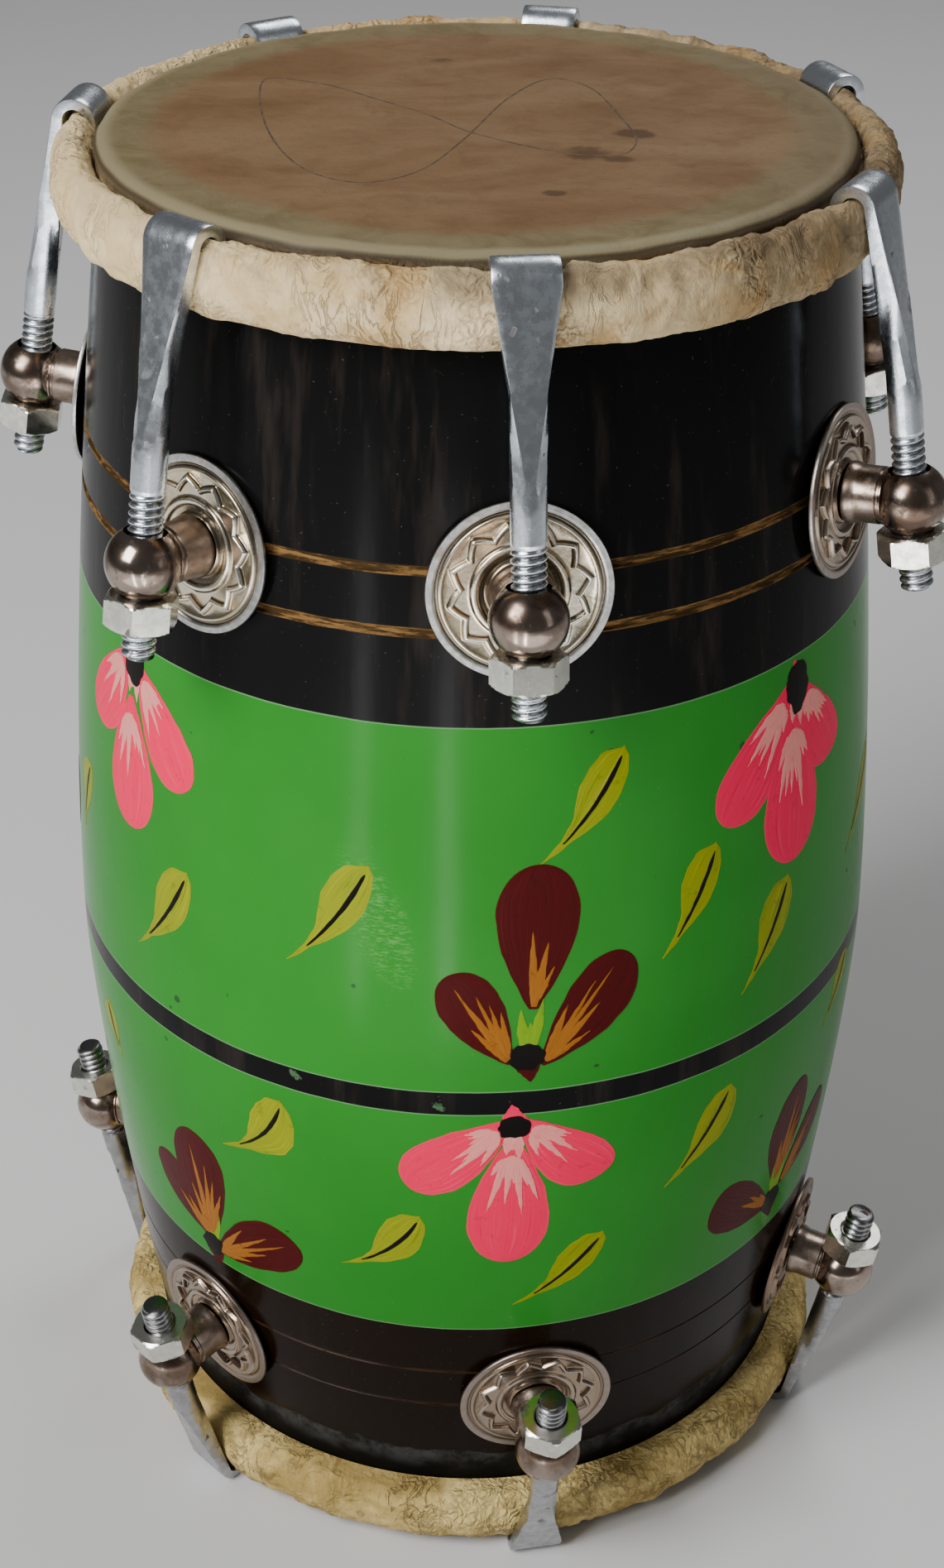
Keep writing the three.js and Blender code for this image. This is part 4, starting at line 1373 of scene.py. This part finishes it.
print("painted flowers")
filmPaints = {
    "maroon": filmPaint("maroon", (.064, .003, .003), (.030, .002, .002), (.088, .006, .005), .6),
    "pink": filmPaint("pink", (.92, .012, .085), (.60, .02, .07), (.95, .09, .17), .5),
    "ochre": filmPaint("ochre", (.34, .12, .012), (.13, .03, .005), (.50, .22, .035), .9),
    "pale": filmPaint("pale", (.90, .30, .27), (.84, .12, .14), (.93, .56, .42), .8),
    "lime": filmPaint("lime", (.18, .36, .008), (.07, .26, .01), (.36, .45, .02), .8),
    "leaf": filmPaint("leafYellow", (.26, .30, .006), (.09, .16, .005), (.42, .38, .012), .95),
    "black": filmPaint("blackDaub", (.006, .005, .004), (.003, .003, .003), (.02, .016, .012), .6),
}
for name, strokes in films.items():
    shape = together([made for made, marks in strokes])
    spots = [mark for made, marks in strokes for mark in marks]
    piece(f"paint_{name}", shape, filmPaints[name], spots=spots, sharp=60)


# Studio

studio = {"floor": -.0028, "size": 6, "pale": (.79, .79, .79), "grey": (.75, .75, .75), "glow": .10}
# the strips are tilted up, so that they shine in the lacquer and not on the floor;
# the card lies in front of the drum and shines in the metal
lights = (
    {"name": "key", "at": (-1.35, -1.15, 1.75), "size": (1.0, 1.4), "power": 60},
    {"name": "fill", "at": (1.5, -1.0, 1.0), "size": (.5, 1.4), "power": 1.5},
    {"name": "back", "at": (.7, 1.3, 2.1), "size": (1.2, .8), "power": 16},
    {"name": "strip", "at": (-.06, -.50, .16), "size": (.03, .28), "power": .07,
     "target": (0, 0, .47), "spread": 70},
    {"name": "strip", "at": (-.24, -.46, .16), "size": (.02, .28), "power": .05,
     "target": (0, 0, .47), "spread": 70},
    {"name": "card", "at": (0, -.78, .02), "size": (1.2, .8), "power": 3.2, "target": (0, -.78, 1)},
)


def areaLight(name, at, size, power, target=(0, 0, .22), spread=180):
    lamp = bpy.data.lights.new(name, "AREA")
    lamp.shape = "RECTANGLE"
    lamp.size, lamp.size_y = size
    lamp.energy = power
    lamp.spread = math.radians(spread)
    thing = bpy.data.objects.new(name, lamp)
    thing.location = at
    thing.rotation_euler = (Vector(target) - Vector(at)).to_track_quat("-Z", "Y").to_euler()
    thing.visible_camera = False
    bpy.context.collection.objects.link(thing)


def floorPaint():
    paint = Paint("paleFloor", Specular_IOR_Level=.2)
    place = paint.place()
    tone = paint.blend(paint.clouds(place, 3, 3), studio["grey"], studio["pale"])
    return paint.set(Base_Color=tone, Roughness=.75)


print("studio")
floorMesh = bpy.data.meshes.new("floor")
half = studio["size"] / 2
corners = ((-half, -half), (half, -half), (half, half), (-half, half))
floorMesh.from_pydata([(x, y, studio["floor"]) for x, y in corners], [], [(0, 1, 2, 3)])
floorMesh.materials.append(floorPaint())
floor = bpy.data.objects.new("floor", floorMesh)
bpy.context.collection.objects.link(floor)

world = bpy.data.worlds.new("studio")
world.use_nodes = True
background = world.node_tree.nodes["Background"]
background.inputs["Color"].default_value = (1, 1, 1, 1)
background.inputs["Strength"].default_value = studio["glow"]
bpy.context.scene.world = world
for light in lights:
    areaLight(**light)

# Camera, where the photographer stood: in front and above, looking down at about 32 degrees
view = {"at": (-.0097, -.6729, .6529), "yaw": -.0141, "pitch": .5661, "roll": -.0064,
        "lens": 55.13, "sensor": 36, "nearest": .01}
ahead = Vector((-math.sin(view["yaw"]), math.cos(view["yaw"]), 0))
right = Vector((math.cos(view["yaw"]), math.sin(view["yaw"]), 0))
look = ahead * math.cos(view["pitch"]) - Vector((0, 0, 1)) * math.sin(view["pitch"])
up = Vector((0, 0, 1)) * math.cos(view["pitch"]) + ahead * math.sin(view["pitch"])
rolledRight = right * math.cos(view["roll"]) - up * math.sin(view["roll"])
rolledUp = right * math.sin(view["roll"]) + up * math.cos(view["roll"])
lens = bpy.data.cameras.new("camera")
lens.lens = view["lens"]
lens.sensor_width = view["sensor"]
lens.clip_start = view["nearest"]
camera = bpy.data.objects.new("camera", lens)
facing = Matrix((rolledRight, rolledUp, -look)).transposed().to_4x4()
camera.matrix_world = Matrix.Translation(view["at"]) @ facing
bpy.context.collection.objects.link(camera)
bpy.context.scene.camera = camera
